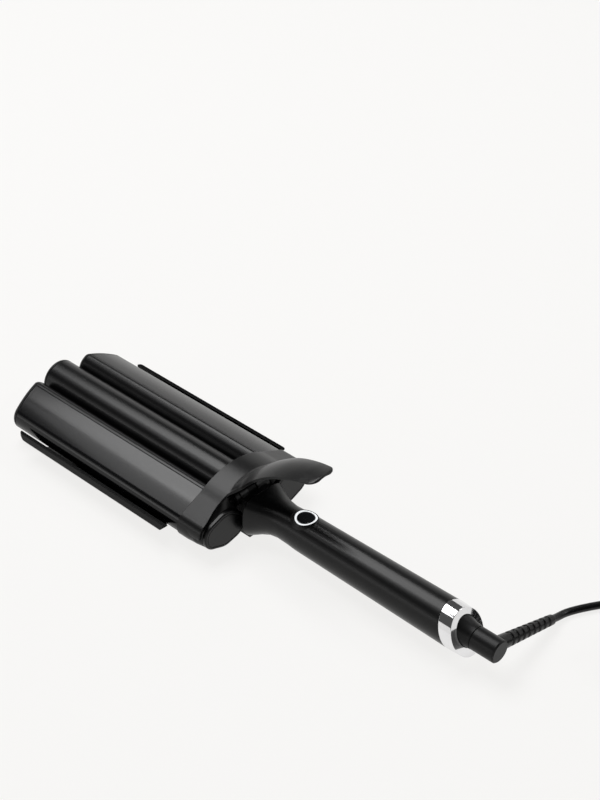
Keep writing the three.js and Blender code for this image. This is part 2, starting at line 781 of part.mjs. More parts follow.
function makeButton() {
  const well = upright(buttonRadius + buttonClearance, 0, 30);
  const lit = upright(lightRingRadius, wellFloor + GAP, 30).intersect(alongHandle(lightRingTop));
  addPiece(base, "button_light_ring", lit.subtract(well), litWhite);

  const capFloor = wellFloor + GAP + buttonTravel;
  const cap = upright(buttonRadius, capFloor, 30).intersect(alongHandle(lightRingTop + 0.2));
  const stem = upright(buttonStemRadius, switchTop + buttonTravel + 0.1, capFloor + 1);
  addPiece(base, "power_button", cap.add(stem), glossBlack);

  const keyZ = switchTop - switchHeight;
  const key = box(buttonX - 3, buttonX + 3, -3, 3, keyZ, switchTop);
  addPiece(base, "power_switch", key, insulator);
  const boardTop = keyZ - GAP;
  const front = buttonX - 12;
  const rear = handleEndX - 25;
  const board = box(front, rear, -boardHalfWidth, boardHalfWidth, boardTop - 1.6, boardTop);
  addPiece(base, "control_board", board, boardGreen);
  const frameTop = boardTop - 1.6 - GAP;
  const frameHalf = boardHalfWidth - 1.8;
  const frame = box(front + 3.5, rear + 6, -frameHalf, frameHalf, seamZ + 2.9, frameTop);
  addPiece(base, "handle_frame", frame, insulator);
}

function makeEndRing() {
  const x0 = handleEndX - 20;
  const x1 = handleEndX + ringLength + 20;
  const rearRadius = handleRearRadius - ringTaper;
  const body = rod("x", x0, x1, handleRearRadius + 0.2, 0, handleAxisZ, 48, rearRadius);
  const hollow = rod("x", x0 - 1, x1 + 1, coneBaseRadius + GAP, 0, handleAxisZ, 32);
  const slice = body
    .intersect(beforeLean(handleEndX + ringLength, ringRearLean))
    .subtract(beforeLean(handleEndX, ringFrontLean));
  addPiece(base, "end_ring", slice.subtract(hollow), chrome);

  // Socket inside the ring; its cone narrows to the swivel.
  const front = handleEndX - 13;
  const rear = handleEndX + ringLength;
  const profile = [
    [0, front],
    [coneBaseRadius, front],
    [coneBaseRadius, rear - 3],
    [coneBaseRadius - 0.8, rear],
    [swivelRadius + 1, swivelFrontX - 3],
    [swivelRadius + 0.1, swivelFrontX - GAP],
    [0, swivelFrontX - GAP],
  ];
  const lathe = new THREE.LatheGeometry(
    profile.map(([r, h]) => new THREE.Vector2(r, h)),
    32,
  );
  lathe.rotateZ(-Math.PI / 2).translate(0, 0, handleAxisZ);
  const axleHole = rod("x", swivelFrontX - 12, 400, swivelAxleRadius + GAP, 0, handleAxisZ);
  addPiece(base, "cord_socket", solidFrom(lathe).subtract(axleHole), mattBlack);
}

// ---------------------------------------------------------------- cord swivel

const reliefRoot = new THREE.Vector3(352.3, 0, 3.4);
const reliefEnd = new THREE.Vector3(354.4, 55.2, -12.9);
const reliefDirection = reliefEnd.clone().sub(reliefRoot).normalize();

// A tube with rings square to its path; each ring has its own radius.
function ringedTube(points, radii, sides) {
  const rings = points.map((point, i) => {
    const before = points[Math.max(i - 1, 0)];
    const after = points[Math.min(i + 1, points.length - 1)];
    const along = after.clone().sub(before).normalize();
    const up = Z.clone().addScaledVector(along, -along.z).normalize();
    const across = along.clone().cross(up);
    return Array.from({ length: sides }, (_, j) => {
      const angle = (2 * Math.PI * (j + 0.5)) / sides;
      return point
        .clone()
        .addScaledVector(up, radii[i] * Math.sin(angle))
        .addScaledVector(across, radii[i] * Math.cos(angle))
        .toArray();
    });
  });
  return skin(rings);
}

function makeSwivel() {
  const rear = swivelRearX;
  const axis = handleAxisZ;
  const bevelSize = 0.8;
  const barrel = rod("x", swivelFrontX, rear - bevelSize, swivelRadius, 0, axis, 32);
  const bevel = rod("x", rear - bevelSize, rear, swivelRadius, 0, axis, 32, swivelRadius - bevelSize);
  const axle = rod("x", swivelFrontX - 10, swivelFrontX + 1, swivelAxleRadius, 0, axis);
  const seat = swivelRadius * 0.55;
  const at = (distance) => reliefRoot.clone().addScaledVector(reliefDirection, distance);
  const holeRadius = reliefRootRadius + GAP;
  const socket = ringedTube([at(seat), at(30)], [holeRadius, holeRadius], 16);
  addPiece(swivel, "cord_swivel", barrel.add(bevel).add(axle).subtract(socket), mattBlack);

  const start = seat + GAP;
  const length = reliefRoot.distanceTo(reliefEnd) - start;
  const steps = reliefRibs * 4 + 4;
  const points = [];
  const radii = [];
  for (let i = 0; i <= steps; i++) {
    const share = i / steps;
    const inGroove = i > 5 && i < steps - 2 && i % 4 > 1;
    points.push(at(start + length * share));
    radii.push(
      THREE.MathUtils.lerp(reliefRootRadius, reliefEndRadius, share) - (inGroove ? reliefGroove : 0),
    );
  }
  addPiece(swivel, "strain_relief", ringedTube(points, radii, 14), rubberBlack);
}

// ---------------------------------------------------------------- mains cord

const restZ = floorZ + cordDiameter / 2 + surfaceClearance; // middle of a cord that lies flat
const coilBaseZ = restZ + tieThickness + GAP;
const coilSpan = coilLayerTurns * coilPitch;
const coilTurns = coilLayers * coilLayerTurns + (coilLayers - 1) / 2;

// Middle of the cord after so many turns: each layer winds in or out, and the cord climbs to the
// next one in the half turn where the spiral reverses.
function coilPoint(turn) {
  const period = coilLayerTurns + 0.5;
  const layer = Math.min(Math.floor(turn / period), coilLayers - 1);
  const within = turn - layer * period;
  const wound = Math.min(within / coilLayerTurns, 1);
  const climb = Math.max(0, within - coilLayerTurns) / 0.5;
  const inward = layer % 2 === 0 ? wound : 1 - wound;
  const radius = coilRadius + coilSpan * (0.5 - inward);
  const angle = THREE.MathUtils.degToRad(coilStartDegrees) - 2 * Math.PI * turn;
  return new THREE.Vector3(
    coilX + radius * Math.cos(angle),
    coilY + radius * Math.sin(angle),
    coilBaseZ + coilPitch * (layer + climb),
  );
}

const coilSteps = Math.round(coilTurns * coilStepsPerTurn);
const coilPath = Array.from({ length: coilSteps + 1 }, (_, i) =>
  coilPoint((coilTurns * i) / coilSteps),
);

// A straight end one diameter long, level with the surface.
function levelEnd(point, next) {
  const away = point.clone().sub(next).setZ(0).normalize();
  return point.clone().addScaledVector(away, cordDiameter);
}

const coilStart = levelEnd(coilPath[0], coilPath[1]);
const coilEnd = levelEnd(coilPath[coilSteps], coilPath[coilSteps - 1]);
const wholeCoil = [coilStart, ...coilPath, coilEnd];

function leastCoilGap() {
  let least = Infinity;
  for (let i = 0; i < coilPath.length; i++) {
    for (let j = i + coilStepsPerTurn / 2; j < coilPath.length; j++) {
      least = Math.min(least, coilPath[i].distanceTo(coilPath[j]) - cordDiameter);
    }
  }
  return least;
}

function pathLength(points) {
  return points.slice(1).reduce((sum, point, i) => sum + point.distanceTo(points[i]), 0);
}

function cordTube(points) {
  const curve = new THREE.CatmullRomCurve3(points, false, "centripetal");
  const section = new THREE.Shape(
    arc(0, 0, cordDiameter / 2, 0, 330, 11).map(([u, v]) => new THREE.Vector2(u, v)),
  );
  const steps = Math.ceil(curve.getLength() / (2.4 * cordDiameter)) + 2;
  return {
    solid: solidFrom(new THREE.ExtrudeGeometry(section, { steps, extrudePath: curve })),
    length: curve.getLength(),
  };
}

const beyond = (end, before, distance) =>
  end.clone().addScaledVector(end.clone().sub(before).normalize(), distance);

const plugTurnDegrees = coilStartDegrees - 90 - 360 * (coilTurns % 1);
const plugPlace = new THREE.Vector3(coilX + 71, coilY - 41, floorZ + plugHalfHeight + surfaceClearance);

function makeCord() {
  const leadStart = reliefEnd.clone().addScaledVector(reliefDirection, GAP);
  const leadEnd = beyond(coilStart, coilPath[0], GAP);
  const lead = cordTube([
    leadStart,
    leadStart.clone().addScaledVector(reliefDirection, cordDiameter),
    new THREE.Vector3(355.6, 67.5, restZ),
    new THREE.Vector3(360.2, 77, restZ),
    new THREE.Vector3(370, 92, restZ),
    new THREE.Vector3(383, 106, restZ),
    new THREE.Vector3(397, 114.4, restZ + 0.4),
    beyond(leadEnd, coilStart, cordDiameter),
    leadEnd,
  ]);
  addPiece(cordage, "cord_lead", lead.solid, rubberBlack);
  addPiece(
    cordage,
    "cord_coil",
    ringedTube(wholeCoil, wholeCoil.map(() => cordDiameter / 2), 6),
    rubberBlack,
  );

  const heading = THREE.MathUtils.degToRad(plugTurnDegrees);
  const forwards = new THREE.Vector3(Math.cos(heading), Math.sin(heading), 0);
  const tailStart = beyond(coilEnd, coilPath[coilSteps], GAP);
  const tailEnd = plugPlace.clone().addScaledVector(forwards, -GAP);
  const run = tailEnd.clone().sub(tailStart);
  const tail = cordTube([
    tailStart,
    beyond(tailStart, coilEnd, cordDiameter),
    tailStart.clone().addScaledVector(run, 0.35).setZ(tailStart.z - 4),
    tailStart.clone().addScaledVector(run, 0.62).setZ(tailEnd.z + 3.6),
    tailEnd.clone().addScaledVector(forwards, -2 * cordDiameter),
    tailEnd.clone().addScaledVector(forwards, -cordDiameter),
    tailEnd,
  ]);
  addPiece(cordage, "cord_tail", tail.solid, rubberBlack);
  const total = lead.length + pathLength(wholeCoil) + tail.length;
  console.log("cord", Math.round(total), "mm, least gap in coil", leastCoilGap().toFixed(2), "mm");
}

function roundedBox(halfWidth, z0, z1, corner) {
  return [
    ...arc(halfWidth - corner, z0 + corner, corner, 270, 360, 3),
    ...arc(halfWidth - corner, z1 - corner, corner, 0, 90, 3),
    ...arc(-halfWidth + corner, z1 - corner, corner, 90, 180, 3),
    ...arc(-halfWidth + corner, z0 + corner, corner, 180, 270, 3),
  ];
}

// Strap round all the turns, at one place of the coil.
function makeTie() {
  const tie = new THREE.Group();
  tie.position.set(coilX, coilY, 0);
  tie.rotation.z = THREE.MathUtils.degToRad(tieDegrees);
  cordage.add(tie);
  const clear = GAP + cordDiameter / 2;
  const halfSpan = coilSpan / 2 + coilPitch / 2 + clear;
  const low = coilBaseZ - clear;
  const high = coilBaseZ + (coilLayers - 1) * coilPitch + clear;
  const t = tieThickness;
  const inner = roundedBox(halfSpan, low, high, 2);
  const outer = roundedBox(halfSpan + t, low - t, high + t, 2 + t);
  const lift = (points) => points.map(([x, z]) => [x + coilRadius, z]);
  const half = tieWidth / 2;
  const strap = alongY(lift(outer), -half, half).subtract(alongY(lift(inner), -half - 1, half + 1));
  addPiece(tie, "cord_tie", strap, mattBlack);
}

function makePlug() {
  const plug = new THREE.Group();
  plug.position.copy(plugPlace);
  plug.rotation.z = THREE.MathUtils.degToRad(plugTurnDegrees);
  cordage.add(plug);
  const stations = [
    [0, 3.4, 3.4, 2],
    [12, 4.2, 4.2, 2],
    [15, 7.4, 5.8, 2.4],
    [24, plugHalfWidth - 2.4, plugHalfHeight, 3],
    [28, plugHalfWidth, plugHalfHeight, 3.4],
    [plugLength, plugHalfWidth, plugHalfHeight, 3.4],
  ].map(([x, half, height, power]) =>
    stationRing({ x, half, top: height, bottom: -height, upper: power, lower: power }, 0),
  );
  let body = skin(stations);
  for (const [side, word] of [
    [-1, "left"],
    [1, "right"],
  ]) {
    const y = (side * pinSpacing) / 2;
    const root = plugLength - pinRoot;
    body = body.subtract(rod("x", root - GAP, plugLength + 5, pinRadius + GAP, y, 0, 16));
    const shank = rod("x", root, plugLength + pinLength - 1, pinRadius, y, 0, 16);
    const point = rod("x", plugLength + pinLength - 1, plugLength + pinLength, pinRadius, y, 0, 16, 1.2);
    addPiece(plug, word + "_plug_pin", shank.add(point), steel);
  }
  addPiece(plug, "plug_body", body, rubberBlack);
}

// ---------------------------------------------------------------- assembly

for (const [side, word] of [
  [-1, "left"],
  [1, "right"],
]) {
  makeOuterBarrel(side, word);
  makeOuterTip(side, word);
  makeOuterSpine(side, word);
  makeEndCap(side, word);
}
makeBridge();
makeLever();
makeMiddleBarrel();
makeLowerJaw();
makePivot();
makeHandleShells();
makeButton();
makeEndRing();
makeSwivel();
makeCord();
makeTie();
makePlug();

// The origin lies under the middle of the object, on the surface that it rests on.
layout.position.set(-(noseX + swivelRearX) / 2, 0, -floorZ);

export default part;
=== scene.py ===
# A triple-barrel hair waver on a pale studio surface. Sizes are in millimetres of the layout frame
# of the part's source, which place() turns into metres of the part's own frame, unless a comment
# says that they are in metres.
import json
import math

import bpy
import bmesh
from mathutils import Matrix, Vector

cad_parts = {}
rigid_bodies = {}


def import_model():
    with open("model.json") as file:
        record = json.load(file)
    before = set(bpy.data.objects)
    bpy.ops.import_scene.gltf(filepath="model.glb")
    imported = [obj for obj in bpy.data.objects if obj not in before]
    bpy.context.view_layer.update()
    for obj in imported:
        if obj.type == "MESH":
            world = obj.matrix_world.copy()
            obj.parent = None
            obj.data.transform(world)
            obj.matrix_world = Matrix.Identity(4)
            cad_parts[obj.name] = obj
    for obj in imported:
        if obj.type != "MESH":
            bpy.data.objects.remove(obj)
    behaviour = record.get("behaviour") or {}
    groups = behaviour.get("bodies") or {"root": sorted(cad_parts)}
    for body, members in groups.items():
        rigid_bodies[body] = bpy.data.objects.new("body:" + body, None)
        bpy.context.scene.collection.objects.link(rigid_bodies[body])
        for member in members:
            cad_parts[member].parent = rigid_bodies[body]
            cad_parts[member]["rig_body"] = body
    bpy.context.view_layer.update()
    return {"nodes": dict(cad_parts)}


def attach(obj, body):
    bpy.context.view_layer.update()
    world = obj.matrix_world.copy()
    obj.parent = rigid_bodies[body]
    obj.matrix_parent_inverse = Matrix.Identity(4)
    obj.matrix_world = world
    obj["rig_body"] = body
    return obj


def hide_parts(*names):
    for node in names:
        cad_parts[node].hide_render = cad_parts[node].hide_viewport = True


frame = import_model()
nodes = frame["nodes"]
scene = bpy.context.scene
scene.view_settings.view_transform = "Standard"

SIDES = ((-1, "left"), (1, "right"))
SHIFT = Vector((-167.2, 0.0, 18.0))
FLOOR_Z = -18


def place(x, y, z):
    """A point of the layout frame, in metres of the part's frame."""
    return (Vector((x, y, z)) + SHIFT) / 1000


# ---------------------------------------------------------------- camera
# Its place is in metres, its two angles in degrees.

CAMERA_PLACE = (0.58715, -0.58647, 0.71158)
CAMERA_DOWN, CAMERA_TURN = 36.38, 43.26

camera_data = bpy.data.cameras.new("camera")
camera_data.lens = 77.67
camera_data.sensor_width = 36
camera_data.clip_start = 0.05
camera_data.clip_end = 20
camera = bpy.data.objects.new("camera", camera_data)
camera.location = CAMERA_PLACE
camera.rotation_euler = (math.radians(90 - CAMERA_DOWN), 0, math.radians(CAMERA_TURN))
scene.collection.objects.link(camera)
scene.camera = camera

# ---------------------------------------------------------------- materials

NOISE_LOW, NOISE_HIGH = 0.3, 0.7
CLOUD_SCALE = 120
BUMP_STRENGTH, BEVEL_SAMPLES = 0.35, 6


def new_material(name):
    """A material, its node tree and its shader."""
    material = bpy.data.materials.new(name)
    material.use_nodes = True
    tree = material.node_tree
    return material, tree, tree.nodes["Principled BSDF"]


def noise(tree, scale, detail, rough, stretch):
    """Noise in the piece's own space; scale is in cells per metre."""
    coords = tree.nodes.new("ShaderNodeTexCoord")
    mapping = tree.nodes.new("ShaderNodeMapping")
    mapping.inputs["Scale"].default_value = stretch
    texture = tree.nodes.new("ShaderNodeTexNoise")
    texture.inputs["Scale"].default_value = scale
    texture.inputs["Detail"].default_value = detail
    texture.inputs["Roughness"].default_value = rough
    tree.links.new(coords.outputs["Object"], mapping.inputs["Vector"])
    tree.links.new(mapping.outputs["Vector"], texture.inputs["Vector"])
    return texture.outputs["Fac"]


def ranged(tree, value, low, high):
    """Noise spread from one number to another."""
    node = tree.nodes.new("ShaderNodeMapRange")
    node.inputs["From Min"].default_value = NOISE_LOW
    node.inputs["From Max"].default_value = NOISE_HIGH
    node.inputs["To Min"].default_value = low
    node.inputs["To Max"].default_value = high
    tree.links.new(value, node.inputs["Value"])
    return node.outputs["Result"]


def tinted(tree, value, dark, light):
    """Noise spread from one colour to another."""
    ramp = tree.nodes.new("ShaderNodeValToRGB")
    ramp.color_ramp.elements[0].position = NOISE_LOW
    ramp.color_ramp.elements[1].position = NOISE_HIGH
    ramp.color_ramp.elements[0].color = (*dark, 1)
    ramp.color_ramp.elements[1].color = (*light, 1)
    tree.links.new(value, ramp.inputs["Fac"])
    return ramp.outputs["Color"]


def grained(
    name, dark, light, rough, grain, depth, metallic=0.0, coat=0.0, coat_rough=0.1,
    stretch=(1, 1, 1), specular=0.5, edge=0.0003,
):
    """A moulded or coated surface: cloudy colour, uneven roughness, fine grain, eased edges.

    The grain's depth and the edge's radius are in metres.
    """
    material, tree, shader = new_material(name)
    soft = noise(tree, CLOUD_SCALE, detail=2.0, rough=0.5, stretch=stretch)
    fine = noise(tree, grain, detail=4.0, rough=0.6, stretch=stretch)
    tree.links.new(tinted(tree, soft, dark, light), shader.inputs["Base Color"])
    tree.links.new(ranged(tree, fine, *rough), shader.inputs["Roughness"])
    shader.inputs["Metallic"].default_value = metallic
    shader.inputs["Specular IOR Level"].default_value = specular
    shader.inputs["Coat Weight"].default_value = coat
    shader.inputs["Coat Roughness"].default_value = coat_rough
    bump = tree.nodes.new("ShaderNodeBump")
    bump.inputs["Strength"].default_value = BUMP_STRENGTH
    bump.inputs["Distance"].default_value = depth
    tree.links.new(fine, bump.inputs["Height"])
    if edge:
        bevel = tree.nodes.new("ShaderNodeBevel")
        bevel.samples = BEVEL_SAMPLES
        bevel.inputs["Radius"].default_value = edge
        tree.links.new(bevel.outputs["Normal"], bump.inputs["Normal"])
    tree.links.new(bump.outputs["Normal"], shader.inputs["Normal"])
    return material


satin_black = grained(
    "satin_moulded_black", (0.0028, 0.0028, 0.003), (0.0048, 0.0048, 0.005), (0.27, 0.35), 5200,
    2e-5, specular=0.24,
)
matt_black = grained(
    "matt_moulded_black", (0.003, 0.003, 0.0032), (0.0052, 0.0052, 0.0055), (0.33, 0.42), 4200,
    2e-5, specular=0.2,
)
barrel_black = grained(
    "coated_barrel_black", (0.0022, 0.0022, 0.0024), (0.004, 0.004, 0.0043), (0.22, 0.29), 6000,
    8e-6, stretch=(0.35, 1, 1), specular=0.25,
)
gloss_black = grained(
    "glossy_cover_black", (0.002, 0.002, 0.0023), (0.0035, 0.0035, 0.004), (0.15, 0.21), 3000,
    5e-6, coat=0.08, coat_rough=0.08, stretch=(0.3, 1, 1), specular=0.25,
)
cord_black = grained(
    "flexible_cord_black", (0.002, 0.002, 0.0022), (0.004, 0.004, 0.0043), (0.24, 0.32), 3600,
    1e-5, edge=0, specular=0.3,
)
button_black = grained(
    "glossy_button_black", (0.004, 0.0045, 0.007), (0.006, 0.0065, 0.009), (0.08, 0.14), 2600,
    4e-6, coat=0.3, coat_rough=0.05, specular=0.3,
)
jaw_black = grained(
    "heat_resistant_black", (0.0018, 0.0018, 0.002), (0.0032, 0.0032, 0.0034), (0.26, 0.34), 4200,
    1.5e-5, specular=0.07,
)
lit_white = grained(
    "lit_ring_white", (0.78, 0.79, 0.79), (0.86, 0.87, 0.87), (0.22, 0.3), 3000, 5e-6
)
lit_shader = lit_white.node_tree.nodes["Principled BSDF"]
lit_shader.inputs["Emission Color"].default_value = (0.95, 0.98, 1.0, 1)
lit_shader.inputs["Emission Strength"].default_value = 0.75
chrome = grained(
    "polished_chrome", (0.80, 0.80, 0.81), (0.84, 0.84, 0.85), (0.05, 0.09), 2500, 3e-6,
    metallic=1.0, edge=0.0002,
)
steel = grained(
    "turned_steel", (0.52, 0.52, 0.54), (0.62, 0.62, 0.63), (0.24, 0.36), 3800, 8e-6,
    metallic=1.0, stretch=(1, 0.15, 1),
)
# Steel coloured near-black as painted shade: the hinge pin and spring sit in shade under the arch.
shade_dark_steel = grained(
    "steel_painted_shade_black", (0.002, 0.002, 0.002), (0.004, 0.004, 0.004), (0.4, 0.5), 3800, 8e-6,
    specular=0.1,
)
ceramic = grained(
    "fired_heater_plate", (0.60, 0.56, 0.49), (0.72, 0.69, 0.62), (0.5, 0.65), 2600, 2e-5
)
insulator = grained(
    "heat_resistant_moulding", (0.13, 0.12, 0.11), (0.18, 0.17, 0.16), (0.6, 0.75), 2600, 3e-5
)
board_green = grained(
    "coated_board_green", (0.03, 0.11, 0.055), (0.05, 0.17, 0.085), (0.35, 0.5), 1800, 1e-5
)

# The nodes that keep their own shape.
FINISHES = {
    matt_black: ["pivot_block", "left_hinge_bush", "right_hinge_bush"],
    # painted shade: the hinge pin and spring are near-black to stand in for the shade under the
    # arch
    shade_dark_steel: ["hinge_pin", "clamp_spring"],
    steel: ["left_plug_pin", "right_plug_pin"],
    ceramic: ["left_heater", "right_heater", "middle_heater"],
    insulator: [
        "middle_barrel_collar", "middle_barrel_spine", "left_barrel_spine", "right_barrel_spine",
        "power_switch", "handle_frame",
    ],
    board_green: ["control_board"],
}
for material, names in FINISHES.items():
    for name in names:
        node = nodes[name]
        node.data.materials.clear()
        node.data.materials.append(material)

# ---------------------------------------------------------------- meshes

TURNED_SIDES = 120


def circle(sides):
    """The angles of a ring's corners."""
    return [2 * math.pi * i / sides for i in range(sides)]


def quarter_round(inset, depth, steps):
    """From a solid's side round to its front: (growth of the outline, distance from the front)."""
    turns = [math.pi / 2 * i / steps for i in range(steps + 1)]
    return [(-inset * (1 - math.cos(turn)), depth * (1 - math.sin(turn))) for turn in turns]


def hermite(t):
    """Weights of start, start slope, end and end slope on a smooth curve."""
    return 2 * t**3 - 3 * t**2 + 1, t**3 - 2 * t**2 + t, -2 * t**3 + 3 * t**2, t**3 - t**2


def face_row(bm, a, b, closed=True):
    """Faces between two rows of corners; a closed row is a ring."""
    count = len(a)
    for i in range(count if closed else count - 1):
        j = (i + 1) % count
        bm.faces.new((a[i], a[j], b[j], b[i]))


def join_rings(bm, rings, closed=False):
    """Faces between neighbouring rings, which close on themselves or end in two caps."""
    for a, b in zip(rings, rings[1:] + (rings[:1] if closed else [])):
        face_row(bm, a, b)
    if not closed:
        bm.faces.new(rings[0])
        bm.faces.new(rings[-1])


def ring_verts(bm, side, outline, x_at):
    """Corners of an outline of (y, z), mirrored on the left; x_at is a number, or x for each y."""
    return [
        bm.verts.new(place(x_at(y) if callable(x_at) else x_at, side * y, z)) for y, z in outline
    ]


def turned(profile, z, closed=False):
    """A solid turned about a line along x at this height, from (x, radius) points."""
    bm = bmesh.new()
    rings = []
    for x, radius in profile:
        turns = circle(TURNED_SIDES)
        ring = [place(x, radius * math.cos(t), z + radius * math.sin(t)) for t in turns]
        rings.append([bm.verts.new(point) for point in ring])
    join_rings(bm, rings, closed)
    return bm


def ringed_tube(points, radii, sides):
    """Round rings square to a path, closed at both ends; all of it in metres."""
    bm = bmesh.new()
    rings = []
    across = None
    for i, point in enumerate(points):
        along = (points[min(i + 1, len(points) - 1)] - points[max(i - 1, 0)]).normalized()
        if across is None:
            across = along.cross(Vector((0, 0, 1))).normalized()
        across = (across - along * across.dot(along)).normalized()
        up = across.cross(along)
        ring = []
        for angle in circle(sides):
            offset = across * math.cos(angle) + up * math.sin(angle)
            ring.append(bm.verts.new(point + offset * radii[i]))
        rings.append(ring)
    join_rings(bm, rings)
    return bm


def smooth_line(points, parts):
    """Centripetal spline through points, with so many parts between neighbours."""
    ends = [points[0] * 2 - points[1]] + list(points) + [points[-1] * 2 - points[-2]]
    line = []
    for i in range(len(points) - 1):
        p0, p1, p2, p3 = ends[i : i + 4]
        d0, d1, d2 = [math.sqrt((b - a).length) for a, b in ((p0, p1), (p1, p2), (p2, p3))]
        m1 = ((p1 - p0) / d0 - (p2 - p0) / (d0 + d1) + (p2 - p1) / d1) * d1
        m2 = ((p2 - p1) / d1 - (p3 - p1) / (d1 + d2) + (p3 - p2) / d2) * d1
        for k in range(parts):
            a, b, c, d = hermite(k / parts)
            line.append(p1 * a + m1 * b + p2 * c + m2 * d)
    line.append(points[-1])
    return line


# ---------------------------------------------------------------- pieces

EASE_SEGMENTS = 3
SPLIT_CORNERS, FLAT_DEGREES = 3e-6, 0.6  # metres, degrees


def new_object(name, bm, material):
    """A smooth object of one material; it uses up the mesh that it is given."""
    bmesh.ops.recalc_face_normals(bm, faces=bm.faces)
    mesh = bpy.data.meshes.new(name)
    bm.to_mesh(mesh)
    bm.free()
    mesh.shade_smooth()
    mesh.materials.append(material)
    thing = bpy.data.objects.new(name, mesh)
    scene.collection.objects.link(thing)
    return thing


def add_piece(name, bm, body, material, sharp=40):
    """A piece that rides on a body, with sharp edges above an angle in degrees."""
    piece = new_object(name, bm, material)
    piece.data.set_sharp_from_angle(angle=math.radians(sharp))
    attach(piece, body)
    return piece


def stand_for(node_name, bm, material, ease=0.0, sharp=40):
    """A piece for one CAD node, on its body and of the given material, with edges eased by so many
    metres.
    """
    body = nodes[node_name]["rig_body"]
    piece = add_piece(node_name + "_finished", bm, body, material, sharp)
    if ease:
        bevel = piece.modifiers.new("eased edges", "BEVEL")
        bevel.width = ease
        bevel.segments = EASE_SEGMENTS
        bevel.limit_method = "ANGLE"
        bevel.angle_limit = math.radians(sharp)
    weighted = piece.modifiers.new("normals", "WEIGHTED_NORMAL")
    weighted.keep_sharp = True
    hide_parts(node_name)
    return piece


def refined(node_name, material, ease, sharp=35):
    """The CAD node's own shape, with its split corners joined and its flat faces made whole."""
    bm = bmesh.new()
    bm.from_mesh(nodes[node_name].data)
    bmesh.ops.remove_doubles(bm, verts=bm.verts, dist=SPLIT_CORNERS)
    flat = math.radians(FLAT_DEGREES)
    bmesh.ops.dissolve_limit(bm, angle_limit=flat, verts=bm.verts, edges=bm.edges)
    stand_for(node_name, bm, material, ease, sharp)


refined("lower_jaw", jaw_black, 0.0005)
refined("handle_upper_shell", satin_black, 0.0003, 40)
refined("handle_lower_shell", satin_black, 0.0003, 40)
refined("cord_swivel", matt_black, 0.0004)
refined("plug_body", cord_black, 0.0006)
refined("cord_tie", matt_black, 0.0003)

# ---------------------------------------------------------------- outer barrels
# An outer barrel's section, on the right-hand side, is the hull of circles (y, z, radius) with a
# wide flat crown. A facing is the angle, in the plane of y and z, that the surface looks to.

LIP, FLANK = (22.84, 11.97, 3.6), (26.81, 4.0, 12.5)
HEEL, OUTER_EDGE = (20.5, -7.6, 6.3), (39.4, -1.0, 8.5)
FLANK_LEAN = 0.446
CROWN_RADIUS = 85
BARREL_FRONT, BARREL_REAR, BARREL_WALL = -22.1, 143.7, 3.0
NOSE_CURVE, NOSE_LENGTH, NOSE_INSET, NOSE_PLUG = 0.0026, 3.2, 2.2, 9
COVER_INNER_Y, COVER_BOTTOM_Z = 24.9, -4.0
COVER_THICKNESS, COVER_SEAM, COVER_BED, COVER_STEPS = 1.2, 0.35, 1.5, 90
COVER_REACH, HALVINGS = 1.9, 20
SEAM = 0.3
BORE_NUDGE = 1e-3
ANGLES = [2 * math.pi * (i + 0.5) / 300 for i in range(300)]


def crown_centre():
    """Centre of the wide circle that touches the lip and the outer edge from outside."""
    run = Vector((OUTER_EDGE[0] - LIP[0], OUTER_EDGE[1] - LIP[1]))
    to_lip, to_edge = CROWN_RADIUS - LIP[2], CROWN_RADIUS - OUTER_EDGE[2]
    along = (to_lip**2 - to_edge**2 + run.length_squared) / (2 * run.length)
    aside = math.sqrt(to_lip**2 - along**2)
    way = run.normalized()
    return Vector(LIP[:2]) + way * along - Vector((-way.y, way.x)) * aside


CROWN = crown_centre()
CROWN_FROM = (Vector(LIP[:2]) - CROWN).normalized()
CROWN_TO = (Vector(OUTER_EDGE[:2]) - CROWN).normalized()


def hull_point(circles, angle, grow):
    """Point of a hull of circles at a facing; the flank bears only on the inner side."""
    way = Vector((math.cos(angle), math.sin(angle)))
    if -way.x <= FLANK_LEAN:
        circles = [c for c in circles if c is not FLANK]
    y, z, r = max(circles, key=lambda c: c[0] * way.x + c[1] * way.y + c[2])
    return Vector((y, z)) + way * (r + grow)


def section_point(angle, grow):
    """Point of the outer barrel's section at a facing, grown outwards by so much."""
    way = Vector((math.cos(angle), math.sin(angle)))
    if CROWN_TO.x > way.x > CROWN_FROM.x and way.y > 0:
        return hull_point([(CROWN.x, CROWN.y, CROWN_RADIUS)], angle, grow)
    return hull_point([LIP, HEEL, OUTER_EDGE, FLANK], angle, grow)


def under_cover(angle, margin):
    """Whether the cover, made larger by a margin, lies over this facing."""
    point = section_point(angle, 0)
    return point.x > COVER_INNER_Y - margin and point.y > COVER_BOTTOM_Z - margin


def cover_angles(margin):
    """First and last facing of the cover, found by halving."""
    top = math.atan2((CROWN_FROM + CROWN_TO).y, (CROWN_FROM + CROWN_TO).x)
    limits = []
    for step in (1, -1):
        inside, outside = top, top + step * COVER_REACH
        for _ in range(HALVINGS):
            half = (inside + outside) / 2
            if under_cover(half, margin):
                inside = half
            else:
                outside = half
        limits.append(inside)
    return limits


def behind_nose(depth):
    """For each y, x at this depth behind the nose's curved front."""
    return lambda y: BARREL_FRONT + NOSE_CURVE * y * y + depth


tube_front = behind_nose(NOSE_LENGTH + SEAM)


def cover_mesh(side):
    """A curved plate over the crown and the outer edge."""
    first, last = cover_angles(0)
    facings = [first + (last - first) * i / COVER_STEPS for i in range(COVER_STEPS + 1)]
    bm = bmesh.new()
    rows = []
    for grow, x_at in (
        (0, tube_front), (0, BARREL_REAR), (-COVER_THICKNESS, BARREL_REAR),
        (-COVER_THICKNESS, tube_front),
    ):
        rows.append(ring_verts(bm, side, [section_point(a, grow) for a in facings], x_at))
    for a, b in zip(rows, rows[1:] + rows[:1]):
        face_row(bm, a, b, closed=False)
    for end in (0, -1):
        bm.faces.new([row[end] for row in rows])
    return bm


